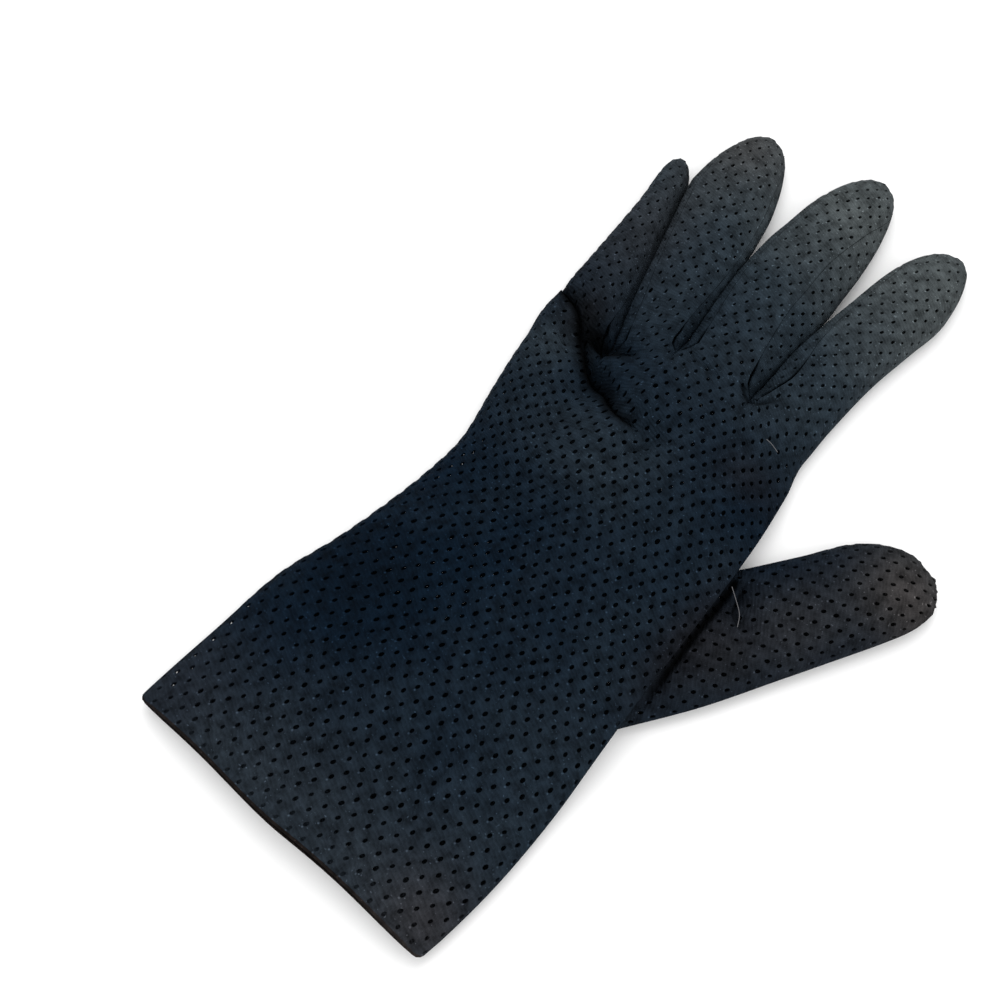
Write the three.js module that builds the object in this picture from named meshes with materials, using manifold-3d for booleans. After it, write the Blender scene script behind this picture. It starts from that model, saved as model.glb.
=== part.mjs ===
// A left-hand wrist length dress glove in open-knit nylon, lying empty with its palm down and its back up.
// Millimetres, +Z up, +Y from the wrist to the fingertips, +X to the thumb's side.
// The origin is on the surface that the glove lies on, under the middle of the palm.

import * as THREE from 'three';
import { mergeVertices } from 'three/addons/utils/BufferGeometryUtils.js';
import Module from 'manifold-3d';

const { lerp, smoothstep, degToRad } = THREE.MathUtils;

// Driving sizes

const HAND_LENGTH = 162;
const CUFF_WIDTH = 93;
const PALM_WIDTH = 84;
const PALM_HEIGHT = 12;
const FINGER_HEIGHT = 9.4;
const EDGE_HEIGHT = 3;
const LAP_HEIGHT = 5;
const WALL = 1;
const FINGER_GAP = 0.8;
const PIECE_GAP = 0.3;
const FOURCHETTE_WIDTH = 3.6;

// The wall measured across the fold along an edge, where it slants

const EDGE_WALL = WALL * 1.25;

const INDEX_LENGTH = 71;
const INDEX_WIDTH = 21;
const MIDDLE_LENGTH = 75;
const MIDDLE_WIDTH = 26;
const RING_LENGTH = 76;
const RING_WIDTH = 24;
const LITTLE_LENGTH = 60.5;
const LITTLE_WIDTH = 20;

const THUMB_LENGTH = 66;
const THUMB_WIDTH = 30;
const THUMB_HEIGHT = 9;
const THUMB_ROOT_HEIGHT = 7;
const THUMB_ROOT_WIDTH = 58;
const THUMB_INSERT = 10;
const THUMB_OVERLAP = 2.5;

// Where the origin lies along the hand, as a share of HAND_LENGTH

const ORIGIN_SHARE = 0.7;

// Outline and height of the hand from the cuff (at 0) to the crotches (at 1).
// at: share of HAND_LENGTH. ulnar, radial: shares of half the hand's width there.
// height: share of PALM_HEIGHT. lift: how far the radial edge is raised from EDGE_HEIGHT over the thumb's root.

const HAND_ROWS = [
  { at: 0.00, ulnar: 1.000, radial: 1.000, height: 0.66, lift: 0.00 },
  { at: 0.15, ulnar: 0.994, radial: 1.055, height: 0.76, lift: 0.00 },
  { at: 0.28, ulnar: 1.000, radial: 1.077, height: 0.86, lift: 0.12 },
  { at: 0.38, ulnar: 0.935, radial: 1.077, height: 0.93, lift: 0.80 },
  { at: 0.46, ulnar: 0.893, radial: 1.066, height: 0.97, lift: 1.00 },
  { at: 0.56, ulnar: 0.852, radial: 1.043, height: 1.00, lift: 1.00 },
  { at: 0.64, ulnar: 0.850, radial: 1.021, height: 1.00, lift: 1.00 },
  { at: 0.74, ulnar: 0.943, radial: 0.990, height: 0.98, lift: 1.00 },
  { at: 0.82, ulnar: 1.012, radial: 0.950, height: 0.95, lift: 0.60 },
  { at: 0.93, ulnar: 1.080, radial: 0.870, height: 0.90, lift: 0.10 },
  { at: 1.00, ulnar: 1.090, radial: 0.820, height: 0.86, lift: 0.00 },
];

// The share of HAND_LENGTH over which the width passes from the cuff's to the palm's

const CUFF_FADE = 0.55;

// Crotches and outer finger bases along the hand's upper edge, from the little finger's side to the index's.
// across: share of half of PALM_WIDTH. along: share of HAND_LENGTH. lean: the slit's turn from +Y in degrees.

const CROTCHES = [
  { across: -1.085, along: 0.925, lean: -8 },
  { across: -0.564, along: 0.923, lean: -17.7 },
  { across: -0.240, along: 1.012, lean: -6.6 },
  { across: 0.314, along: 1.024, lean: 1.5 },
  { across: 0.826, along: 0.985, lean: 3 },
];

// Fingers between those crotches. lean: the axis' turn from +Y in degrees. share: its part of the cloth's width.
// lap: how far the left edge is raised from EDGE_HEIGHT towards LAP_HEIGHT, where it laps the finger beside it.
// rows: at is a share of the length, left and right are shares of half the width.
// leftStrip, rightStrip: how wide the fourchette shows along that side, as shares of FOURCHETTE_WIDTH.

const FINGERS = [
  {
    name: 'little', length: LITTLE_LENGTH, width: LITTLE_WIDTH, lean: -12.3, share: 0.24, lap: 0,
    rows: [
      { at: 0.00, left: 1.10, right: 1.10, leftStrip: 0, rightStrip: 1.00 },
      { at: 0.20, left: 0.90, right: 1.05, leftStrip: 0, rightStrip: 0.55 },
      { at: 0.40, left: 0.72, right: 0.95, leftStrip: 0, rightStrip: 0.50 },
      { at: 0.70, left: 0.48, right: 0.78, leftStrip: 0, rightStrip: 0.50 },
      { at: 0.88, left: 0.41, right: 0.50, leftStrip: 0, rightStrip: 0.40 },
      { at: 0.96, left: 0.30, right: 0.28, leftStrip: 0, rightStrip: 0.30 },
      { at: 1.00, left: 0.14, right: 0.10, leftStrip: 0, rightStrip: 0.30 },
    ],
  },
  {
    name: 'ring', length: RING_LENGTH, width: RING_WIDTH, lean: -12.6, share: 0.24, lap: 1,
    rows: [
      { at: 0.00, left: 0.72, right: 0.72, leftStrip: 1.00, rightStrip: 1.00 },
      { at: 0.30, left: 0.98, right: 0.92, leftStrip: 0.50, rightStrip: 0.50 },
      { at: 0.62, left: 1.12, right: 1.02, leftStrip: 0.50, rightStrip: 0.50 },
      { at: 0.72, left: 1.02, right: 0.94, leftStrip: 0.50, rightStrip: 0.50 },
      { at: 0.84, left: 0.85, right: 0.74, leftStrip: 0.40, rightStrip: 0.40 },
      { at: 0.94, left: 0.58, right: 0.44, leftStrip: 0.30, rightStrip: 0.30 },
      { at: 1.00, left: 0.22, right: 0.10, leftStrip: 0.30, rightStrip: 0.30 },
    ],
  },
  {
    name: 'middle', length: MIDDLE_LENGTH, width: MIDDLE_WIDTH, lean: -1.6, share: 0.27, lap: 0.5,
    rows: [
      { at: 0.00, left: 0.90, right: 0.90, leftStrip: 1.00, rightStrip: 1.00 },
      { at: 0.30, left: 1.06, right: 1.04, leftStrip: 0.50, rightStrip: 2.30 },
      { at: 0.52, left: 1.16, right: 1.02, leftStrip: 0.50, rightStrip: 2.30 },
      { at: 0.60, left: 1.08, right: 0.98, leftStrip: 0.50, rightStrip: 2.05 },
      { at: 0.74, left: 0.90, right: 0.83, leftStrip: 0.50, rightStrip: 1.20 },
      { at: 0.88, left: 0.66, right: 0.60, leftStrip: 0.40, rightStrip: 0.50 },
      { at: 0.96, left: 0.42, right: 0.38, leftStrip: 0.30, rightStrip: 0.30 },
      { at: 1.00, left: 0.16, right: 0.12, leftStrip: 0.30, rightStrip: 0.30 },
    ],
  },
  {
    name: 'index', length: INDEX_LENGTH, width: INDEX_WIDTH, lean: 4.4, share: 0.25, lap: 0.5,
    rows: [
      { at: 0.00, left: 1.02, right: 1.02, leftStrip: 1.00, rightStrip: 0 },
      { at: 0.12, left: 1.10, right: 0.92, leftStrip: 1.50, rightStrip: 0 },
      { at: 0.34, left: 1.16, right: 0.84, leftStrip: 0.80, rightStrip: 0 },
      { at: 0.56, left: 1.14, right: 0.90, leftStrip: 0.50, rightStrip: 0 },
      { at: 0.71, left: 1.02, right: 0.95, leftStrip: 0.50, rightStrip: 0 },
      { at: 0.85, left: 0.88, right: 0.76, leftStrip: 0.40, rightStrip: 0 },
      { at: 0.94, left: 0.62, right: 0.46, leftStrip: 0.30, rightStrip: 0 },
      { at: 1.00, left: 0.26, right: 0.20, leftStrip: 0.30, rightStrip: 0 },
    ],
  },
];

// The thumb's root on the hand's radial edge, and its sections.
// at: share of THUMB_LENGTH from the root's middle. left, right: shares of half of THUMB_WIDTH.
// height: the share of the way from THUMB_ROOT_HEIGHT to THUMB_HEIGHT.

const THUMB_ROOT = { along: 0.603, lean: 35.1 };
const THUMB_ROWS = [
  { at: -0.62, left: 1.12, right: 1.16, height: 0.00 },
  { at: -0.31, left: 1.12, right: 1.10, height: 0.00 },
  { at: 0.00, left: 1.11, right: 1.05, height: 0.00 },
  { at: 0.30, left: 1.10, right: 0.90, height: 0.30 },
  { at: 0.53, left: 1.10, right: 0.78, height: 1.00 },
  { at: 0.73, left: 1.12, right: 0.63, height: 1.00 },
  { at: 0.86, left: 0.95, right: 0.48, height: 0.90 },
  { at: 0.95, left: 0.64, right: 0.22, height: 0.60 },
  { at: 1.00, left: 0.26, right: -0.04, height: 0.20 },
];

// Folds of the back, as lines from one point to the next.
// x: shares of half of PALM_WIDTH. y: shares of HAND_LENGTH.
// width, rise: shares of PALM_HEIGHT. The rise of a dent is negative.

const FOLDS = [
  { x: [-1.02, -0.77], y: [0.942, 0.889], width: 0.36, rise: -0.30 },
  { x: [-0.77, -0.44], y: [0.889, 0.839], width: 0.38, rise: -0.28 },
  { x: [-0.44, 0.00], y: [0.839, 0.825], width: 0.42, rise: -0.20 },
  { x: [-0.60, -0.15], y: [0.611, 0.789], width: 0.38, rise: 0.12 },
  { x: [-0.81, -0.31], y: [0.615, 0.576], width: 0.80, rise: -0.13 },
  { x: [-0.60, -0.36], y: [1.022, 0.998], width: 0.40, rise: -0.16 },
  { x: [0.51, 0.94], y: [0.903, 0.894], width: 0.70, rise: -0.15 },
  { x: [-0.82, -0.48], y: [0.382, 0.336], width: 1.00, rise: -0.08 },
  { x: [0.62, 0.72], y: [0.500, 0.540], width: 1.00, rise: -0.10 },
  { x: [1.10, 1.23], y: [0.700, 0.685], width: 0.42, rise: -0.24 },
];

// Shape of a flattened section: how square its shoulders are, and the share of it that lies flat underneath

const PALM_SHOULDER = 3.2;
const FINGER_SHOULDER = 2.6;
const FLAT_SHARE = 0.8;

// Grid of the walls

const COLUMNS = [-1, -0.84, -0.46, 0, 0.46, 0.84, 1];
const HAND_STEPS = 20;
const FINGER_STEPS = 11;
const THUMB_STEPS = 13;
const STRIP_STEPS = 10;
const ROOT_STEPS = 8;
const CROTCH_SIDES = 16;
const CUT_HEIGHT = PALM_HEIGHT * 3;
const MOUTH_CUT = 6;

// Shares of a length over which shapes pass into each other: a finger's crotch into its free edge,
// the wrist's straight rows into the crotches, the palm's dome into the fingers', and the thumb's tip

const BASE_FADE = 0.4;
const BEND_START = 0.5;
const VALLEY_START = 0.92;
const THUMB_TIP = 0.2;
const TIP_CROWDING = 0.4;

// The share of a finger's length where its fourchettes end, and the share of the slit that they reach into

const STRIP_END = 0.93;
const STRIP_REACH = 0.6;

const COLOURS = { cloth: 0x1a202b, strip: 0x171d27, thumb: 0x1d2022 };
const CLOTH_ROUGHNESS = 0.85;

const wasm = await Module();
wasm.setup();

// Value of one column of a table at a place between its rows, on a smooth curve through them

function sample(rows, column, at) {
  const last = rows.length - 1;
  const place = THREE.MathUtils.clamp(at, rows[0].at, rows[last].at);
  const i = Math.min(rows.findLastIndex((row) => row.at <= place), last - 1);
  const slope = (j) => {
    const a = rows[Math.max(j - 1, 0)];
    const b = rows[Math.min(j + 1, last)];
    return (b[column] - a[column]) / (b.at - a.at);
  };
  const step = rows[i + 1].at - rows[i].at;
  const t = (place - rows[i].at) / step;
  const bend = t * t * (3 - 2 * t);
  const start = t * (1 - t) * (1 - t) * slope(i);
  const end = t * t * (t - 1) * slope(i + 1);
  return lerp(rows[i][column], rows[i + 1][column], bend) + step * (start + end);
}

// Direction that leans from +Y towards +X by an angle in degrees, and the normal to its right

function heading(lean) {
  const angle = degToRad(lean);
  return {
    along: new THREE.Vector2(Math.sin(angle), Math.cos(angle)),
    right: new THREE.Vector2(Math.cos(angle), -Math.sin(angle)),
  };
}

// Points of the hand's upper edge

const crotches = CROTCHES.map(({ across, along, lean }) => ({
  point: new THREE.Vector2(across * PALM_WIDTH / 2, along * HAND_LENGTH),
  ...heading(lean),
}));

// Half of the hand's width at a share of its length

function halfWidth(at) {
  return lerp(CUFF_WIDTH, PALM_WIDTH, smoothstep(at, 0, CUFF_FADE)) / 2;
}

// The two side edges of the hand at a height along it, pulled in by an inset

function handEdges(y, inset) {
  const at = y / HAND_LENGTH;
  return {
    ulnar: -sample(HAND_ROWS, 'ulnar', at) * halfWidth(at) + inset,
    radial: sample(HAND_ROWS, 'radial', at) * halfWidth(at) - inset,
  };
}

// Base line of a finger between its two crotches, pulled in by an inset and half the slit

function fingerBase(k, inset) {
  const pull = inset + FINGER_GAP / 2;
  const ends = [crotches[k], crotches[k + 1]].map(({ point }) => point.clone());
  const across = ends[1].clone().sub(ends[0]).normalize();
  ends[0].addScaledVector(across, k === 0 ? inset : pull);
  ends[1].addScaledVector(across, k === FINGERS.length - 1 ? -inset : -pull);
  ends.forEach((point) => { point.y -= inset; });
  return ends;
}

// Side edge of a finger at a share of its length: -1 for the left edge, 1 for the right.
// It starts at the crotch, follows the finger's own width, and stops at the slit to its neighbour.

function fingerEdge(k, side, at, inset) {
  const finger = FINGERS[k];
  const { along, right } = heading(finger.lean);
  const middle = crotches[k].point.clone().lerp(crotches[k + 1].point, 0.5);
  const free = (share) => {
    const width = sample(finger.rows, side < 0 ? 'left' : 'right', share) * finger.width / 2;
    const reach = (finger.length - inset) * share;
    return middle.clone().addScaledVector(along, reach).addScaledVector(right, side * Math.max(width - inset, 0));
  };
  const base = fingerBase(k, inset)[side < 0 ? 0 : 1];
  const edge = free(at).addScaledVector(base.sub(free(0)), 1 - smoothstep(at, 0, BASE_FADE));
  const next = side < 0 ? k : k + 1;
  if (next > 0 && next < FINGERS.length) {
    const slit = crotches[next];
    const past = side * edge.clone().sub(slit.point).dot(slit.right) + FINGER_GAP / 2 + inset;
    edge.addScaledVector(slit.right, -side * Math.max(past, 0));
  }
  return edge;
}

// Rise of the folds of the back at a point

function foldRise(point) {
  const place = (fold, end) => new THREE.Vector2(fold.x[end] * PALM_WIDTH / 2, fold.y[end] * HAND_LENGTH);
  return FOLDS.reduce((sum, fold) => {
    const from = place(fold, 0);
    const way = place(fold, 1).sub(from);
    const t = THREE.MathUtils.clamp(point.clone().sub(from).dot(way) / way.lengthSq(), 0, 1);
    const off = point.distanceTo(from.addScaledVector(way, t)) / (fold.width * PALM_HEIGHT);
    return sum + fold.rise * PALM_HEIGHT * Math.exp(-off * off);
  }, 0);
}

// Upper and lower height of a flattened section at c, from -1 at its left edge to 1 at its right.
// The wall's inner faces are one thickness inside the outer ones, and end runs from 0 to 1 over a rounded tip.

function section(c, plan, { height, left, right, shoulder, end }, thickness) {
  const edge = lerp(left, right, (1 + c) / 2);
  const dome = Math.sqrt(Math.max((1 - Math.abs(c) ** shoulder) * (1 - end * end), 0));
  const side = Math.max(Math.abs(c), end);
  const turn = Math.max(side - FLAT_SHARE, 0) / (1 - FLAT_SHARE);
  return {
    top: edge + (height + foldRise(plan) - thickness - edge) * dome,
    bottom: thickness + (edge - thickness) * turn * turn,
  };
}

function fingerSection(k, at) {
  const finger = FINGERS[k];
  const tip = finger.width / 2 / finger.length;
  const end = Math.max(at + tip - 1, 0) / tip;
  const lap = finger.lap * smoothstep(at, 0, BASE_FADE) * (1 - end * end);
  return {
    height: FINGER_HEIGHT,
    left: lerp(EDGE_HEIGHT, LAP_HEIGHT, lap),
    right: EDGE_HEIGHT,
    shoulder: FINGER_SHOULDER,
    end,
  };
}

function handSection(at) {
  const raised = THUMB_ROOT_HEIGHT + PIECE_GAP + WALL;
  return {
    height: sample(HAND_ROWS, 'height', at) * PALM_HEIGHT,
    left: EDGE_HEIGHT,
    right: lerp(EDGE_HEIGHT, raised, sample(HAND_ROWS, 'lift', at)),
    shoulder: PALM_SHOULDER,
    end: 0,
  };
}

// Columns of the cloth across the hand: each finger's own columns side by side

const handColumns = FINGERS.flatMap((finger, k) => COLUMNS.map((c) => {
  const before = FINGERS.slice(0, k).reduce((sum, other) => sum + other.share, 0);
  return { k, c, across: before + finger.share * (1 + c) / 2 };
}));

// One row of the hand, from the little finger's side to the index's.
// It is straight across the wrist and bends to the crotches at its upper end, where the fingers' rows start.

function handRow(v, inset, thickness) {
  const bend = smoothstep(v, BEND_START, 1);
  const valley = smoothstep(v, VALLEY_START, 1);
  const bases = FINGERS.map((finger, k) => fingerBase(k, inset));
  const targets = handColumns.map(({ k, c }) => bases[k][0].clone().lerp(bases[k][1], (1 + c) / 2));
  const height = (i) => v * HAND_LENGTH + (targets[i].y - HAND_LENGTH) * bend;
  const last = targets.length - 1;
  const ulnar = lerp(handEdges(height(0), inset).ulnar, targets[0].x, valley);
  const radial = lerp(handEdges(height(last), inset).radial, targets[last].x, valley);
  const span = targets[last].x - targets[0].x;
  return handColumns.map(({ k, c, across }, i) => {
    const share = lerp(across, (targets[i].x - targets[0].x) / span, bend);
    const plan = new THREE.Vector2(lerp(ulnar, radial, share), height(i));
    const wide = section(2 * share - 1, plan, handSection(v), thickness);
    const narrow = section(c, plan, fingerSection(k, 0), thickness);
    return {
      plan,
      top: lerp(wide.top, narrow.top, valley),
      bottom: lerp(wide.bottom, narrow.bottom, valley),
      outside: i === 0 || i === last || (v === 1 && Math.abs(c) === 1),
    };
  });
}

// Share of a length after a share of its steps, which crowd towards the tip

function crowd(turn) {
  return lerp(turn, Math.sin(turn * Math.PI / 2), TIP_CROWDING);
}

// One row of a finger across its columns

function fingerRow(k, step, inset, thickness) {
  const at = crowd(step / FINGER_STEPS);
  const left = fingerEdge(k, -1, at, inset);
  const right = fingerEdge(k, 1, at, inset);
  const shape = fingerSection(k, at);
  return COLUMNS.map((c) => {
    const plan = left.clone().lerp(right, (1 + c) / 2);
    const outside = Math.abs(c) === 1 || step === FINGER_STEPS;
    return { plan, ...section(c, plan, shape, thickness), outside };
  });
}

// A closed solid between an upper and a lower sheet over rows of points, which join along the outline

class Sheets {
  constructor() {
    this.vertices = [];
    this.faces = [];
  }

  addRow(points) {
    return points.map(({ plan, top, bottom, outside }) => {
      const add = (z) => this.vertices.push(plan.x, plan.y, z) / 3 - 1;
      const upper = add(outside ? (top + bottom) / 2 : top);
      return { upper, lower: outside ? upper : add(bottom) };
    });
  }

  face(...ids) {
    for (let i = 2; i < ids.length; i += 1) {
      const corners = [ids[0], ids[i - 1], ids[i]];
      if (new Set(corners).size === 3) {
        this.faces.push(...corners);
      }
    }
  }

  join(near, far) {
    for (let i = 1; i < near.length; i += 1) {
      const [a, b, c, d] = [near[i - 1], near[i], far[i], far[i - 1]];
      this.face(a.upper, b.upper, c.upper, d.upper);
      this.face(d.lower, c.lower, b.lower, a.lower);
    }
  }

  close(row) {
    for (let i = 1; i < row.length; i += 1) {
      this.face(row[i - 1].upper, row[i - 1].lower, row[i].lower, row[i].upper);
    }
  }

  solid() {
    const mesh = new wasm.Mesh({
      numProp: 3,
      vertProperties: new Float32Array(this.vertices),
      triVerts: new Uint32Array(this.faces),
    });
    return new wasm.Manifold(mesh);
  }
}

// The hand with its four fingers, filled; the inner one reaches out through the cuff

function handSolid(inset, thickness, beyond) {
  const sheets = new Sheets();
  const shares = Array.from({ length: HAND_STEPS + 1 }, (unused, step) => step / HAND_STEPS);
  if (beyond > 0) {
    shares.unshift(-beyond / HAND_LENGTH);
  }
  const rows = shares.map((v) => sheets.addRow(handRow(v, inset, thickness)));
  rows.slice(1).forEach((row, i) => sheets.join(rows[i], row));
  sheets.close(rows[0]);
  FINGERS.forEach((finger, k) => {
    const from = k * COLUMNS.length;
    let near = rows[rows.length - 1].slice(from, from + COLUMNS.length);
    for (let step = 1; step <= FINGER_STEPS; step += 1) {
      const far = sheets.addRow(fingerRow(k, step, inset, thickness));
      sheets.join(near, far);
      near = far;
    }
  });
  return sheets.solid();
}

// The thumb, filled, from inside the hand's radial edge to its tip

const thumbMiddle = new THREE.Vector2(
  handEdges(THUMB_ROOT.along * HAND_LENGTH, 0).radial,
  THUMB_ROOT.along * HAND_LENGTH,
);

function thumbRow(at, inset, thickness, last) {
  const { along, right } = heading(THUMB_ROOT.lean);
  const reach = at > 0 ? at * (THUMB_LENGTH - inset) : at * THUMB_LENGTH;
  const middle = thumbMiddle.clone().addScaledVector(along, reach);
  const offset = (column) => sample(THUMB_ROWS, column, at) * THUMB_WIDTH / 2 - inset;
  const shape = {
    height: lerp(THUMB_ROOT_HEIGHT, THUMB_HEIGHT, sample(THUMB_ROWS, 'height', at)),
    left: EDGE_HEIGHT,
    right: EDGE_HEIGHT,
    shoulder: FINGER_SHOULDER,
    end: Math.max(at + THUMB_TIP - 1, 0) / THUMB_TIP,
  };
  return COLUMNS.map((c) => {
    const across = lerp(-offset('left'), offset('right'), (1 + c) / 2);
    const plan = middle.clone().addScaledVector(right, across);
    return { plan, ...section(c, plan, shape, thickness), outside: Math.abs(c) === 1 || last };
  });
}

function thumbSolid(inset, thickness) {
  const sheets = new Sheets();
  const rows = [];
  for (let step = 0; step <= THUMB_STEPS; step += 1) {
    const at = lerp(THUMB_ROWS[0].at, 1, crowd(step / THUMB_STEPS));
    rows.push(sheets.addRow(thumbRow(at, inset, thickness, step === THUMB_STEPS)));
  }
  rows.slice(1).forEach((row, i) => sheets.join(rows[i], row));
  sheets.close(rows[0]);
  return sheets.solid();
}

// A prism over a plan outline, tall enough to cut through the whole glove

function prism(points) {
  const geometry = new THREE.ExtrudeGeometry(new THREE.Shape(points), { depth: CUT_HEIGHT, bevelEnabled: false });
  geometry.translate(0, 0, -CUT_HEIGHT / 2);
  return toSolid(geometry);
}

function toSolid(geometry) {
  geometry.deleteAttribute('normal');
  geometry.deleteAttribute('uv');
  const merged = mergeVertices(geometry);
  const mesh = new wasm.Mesh({
    numProp: 3,
    vertProperties: new Float32Array(merged.attributes.position.array),
    triVerts: new Uint32Array(merged.index.array),
  });
  return new wasm.Manifold(mesh);
}

// The strip of plan along one side of a finger that its fourchette takes, narrowing towards the tip

function strip(k, side, grow) {
  const end = STRIP_END + grow / FINGERS[k].length;
  const inner = [];
  const outer = [];
  for (let step = 0; step <= STRIP_STEPS; step += 1) {
    const at = end * step / STRIP_STEPS;
    const width = FOURCHETTE_WIDTH * sample(FINGERS[k].rows, side < 0 ? 'leftStrip' : 'rightStrip', at);
    const edge = fingerEdge(k, side, at, 0);
    const { right } = heading(FINGERS[k].lean);
    inner.push(edge.clone().addScaledVector(right, -side * (width + grow)));
    outer.push(edge.clone().addScaledVector(right, side * FINGER_GAP * STRIP_REACH));
  }
  return prism([...inner, ...outer.reverse()]);
}

// All the plan that the fourchette between fingers k and k + 1 takes: a strip up each finger, and the crotch

function fourchetteCut(k, grow) {
  const radius = FOURCHETTE_WIDTH + FINGER_GAP / 2 + grow;
  const crotch = new THREE.CylinderGeometry(radius, radius, CUT_HEIGHT, CROTCH_SIDES);
  crotch.rotateX(Math.PI / 2);
  crotch.translate(crotches[k + 1].point.x, crotches[k + 1].point.y, 0);
  return strip(k, 1, grow).add(strip(k + 1, -1, grow)).add(toSolid(crotch));
}

// Plan outline of the thumb's piece inside the hand: a bow from one end of its root to the other

function thumbSide(grow) {
  const ends = [-1, 1].map((side) => {
    const y = thumbMiddle.y + side * (THUMB_ROOT_WIDTH / 2 + grow);
    return new THREE.Vector2(handEdges(y, 0).radial - THUMB_OVERLAP - grow, y);
  });
  const bow = new THREE.Vector2(thumbMiddle.x - 2 * (THUMB_INSERT + grow) + THUMB_OVERLAP, thumbMiddle.y);
  const curve = new THREE.QuadraticBezierCurve(ends[0], bow, ends[1]);
  const far = thumbMiddle.x + THUMB_LENGTH + THUMB_WIDTH;
  const outline = curve.getPoints(ROOT_STEPS);
  outline.push(new THREE.Vector2(ends[1].x, HAND_LENGTH * 2), new THREE.Vector2(far, HAND_LENGTH * 2));
  outline.push(new THREE.Vector2(far, -HAND_LENGTH), new THREE.Vector2(ends[0].x, -HAND_LENGTH));
  return prism(outline);
}

// The glove's pieces, cut from the walls of the hand and the thumb

const handWall = handSolid(0, 0, 0).subtract(handSolid(EDGE_WALL, WALL, MOUTH_CUT));
const thumbWall = thumbSolid(0, 0).intersect(thumbSide(0)).subtract(thumbSolid(EDGE_WALL, WALL));
const thumbRoom = thumbSolid(-PIECE_GAP, -PIECE_GAP).intersect(thumbSide(PIECE_GAP));

const names = ['fourchette_ring_little', 'fourchette_middle_ring', 'fourchette_index_middle'];
const fourchettes = names.map((name, k) => ({ name, solid: handWall.intersect(fourchetteCut(k, 0)) }));
const trank = names.reduce((rest, name, k) => rest.subtract(fourchetteCut(k, PIECE_GAP)), handWall)
  .subtract(thumbRoom);

// Turns a solid back into a mesh of its own in the glove

function piece(name, solid, color) {
  const { vertProperties, triVerts } = solid.getMesh();
  const geometry = new THREE.BufferGeometry();
  geometry.setAttribute('position', new THREE.BufferAttribute(vertProperties, 3));
  geometry.setIndex(new THREE.BufferAttribute(triVerts, 1));
  geometry.computeVertexNormals();
  const material = new THREE.MeshStandardMaterial({ color, roughness: CLOTH_ROUGHNESS, metalness: 0 });
  const mesh = new THREE.Mesh(geometry, material);
  mesh.name = name;
  return mesh;
}

const glove = new THREE.Group();
glove.add(piece('trank', trank, COLOURS.cloth));
fourchettes.forEach(({ name, solid }) => glove.add(piece(name, solid, COLOURS.strip)));
glove.add(piece('thumb', thumbWall, COLOURS.thumb));
glove.position.y = -ORIGIN_SHARE * HAND_LENGTH;

export default glove;
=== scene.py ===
"""A left-hand wrist length dress glove in open eyelet knit, lying empty with its back up.

The glove's form is worked out in millimetres from the middle of its cuff, +Y to the fingertips and +X to the
thumb's side, as tables of points over the rows and across the width of each panel of cloth. The meshes are
written in metres in the frame's own place.
"""

import logging
from dataclasses import dataclass, field
from enum import Enum

import bmesh
import bpy
import numpy as np
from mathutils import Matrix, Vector


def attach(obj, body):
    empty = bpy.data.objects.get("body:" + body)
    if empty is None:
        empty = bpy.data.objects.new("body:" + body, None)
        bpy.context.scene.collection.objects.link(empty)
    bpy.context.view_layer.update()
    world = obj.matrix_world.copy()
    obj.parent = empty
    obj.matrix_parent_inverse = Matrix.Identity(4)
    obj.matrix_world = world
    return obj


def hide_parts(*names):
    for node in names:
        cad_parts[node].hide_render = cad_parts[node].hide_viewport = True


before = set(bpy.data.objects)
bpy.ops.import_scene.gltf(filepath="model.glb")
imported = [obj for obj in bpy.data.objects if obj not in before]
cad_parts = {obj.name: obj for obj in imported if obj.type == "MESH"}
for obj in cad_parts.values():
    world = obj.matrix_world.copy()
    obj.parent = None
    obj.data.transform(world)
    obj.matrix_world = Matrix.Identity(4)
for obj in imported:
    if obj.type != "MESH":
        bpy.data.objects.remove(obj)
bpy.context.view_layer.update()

LOG = logging.getLogger("glove")

MM = 0.001

# Driving sizes of the glove, in millimetres

HAND_LENGTH = 162.0
CUFF_WIDTH = 93.0
PALM_WIDTH = 84.0
PALM_HEIGHT = 12.0
FINGER_HEIGHT = 9.4
EDGE_HEIGHT = 3.0
TOUCH_HEIGHT = 5.6
LAP_HEIGHT = 7.2
LAPPED_HEIGHT = 2.6
FINGER_GAP = 0.08
STRIP_WIDTH = 3.6
THUMB_LENGTH = 66.0
THUMB_WIDTH = 30.0
THUMB_HEIGHT = 9.0
THUMB_ROOT_HEIGHT = 7.0
THUMB_ROOT_WIDTH = 58.0
THUMB_INSERT = 10.0
THUMB_OVERLAP = 2.5
ROOT_CORNER = 12.0
ORIGIN_SHARE = 0.7
CLOTH = 0.55
SOLID_WALL = 1.0
SEAM_GAP = 0.3
SEAM_GROOVE = 0.12
CROTCH_GROOVE = 0.9
LEAST_GROOVE = 6.0
CUFF_CORNER = 1.5
CUFF_WAVE = 0.7

# The knit: columns of eyelets across the back, rows along the hand, and the fingers' own pitches.
# Rows draw together at a fingertip as m² / (m + TIP_CROWD), m rows from its end, and the palm's columns are
# shifted from the back's. Columns turn parallel to the fingers over HOLD_ROWS about the hand's last row.

BACK_COLUMNS = 22.5
HAND_ROWS = 60
COLUMN_PITCH = 3.9
FINGER_ROW = 2.3
THUMB_ROW = 2.75
TIP_CROWD = 1.3
LEAST_ROW = 1.6
PALM_SHIFT = 0.4
PER_ROW = 3
ACROSS = 97
ROW_SPREAD = 0.03
HOLD_ROWS = (-9, 10)


def lerp(a: np.ndarray, b: np.ndarray, t: np.ndarray) -> np.ndarray:
    """Value a share t of the way from a to b."""
    return a + (b - a) * t


def smooth(x: np.ndarray, low: float, high: float) -> np.ndarray:
    """Smooth step: 0 below low, 1 above high, and 3t² - 2t³ of the share t between."""
    t = np.clip((x - low) / (high - low), 0, 1)
    return t * t * (3 - 2 * t)


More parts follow.
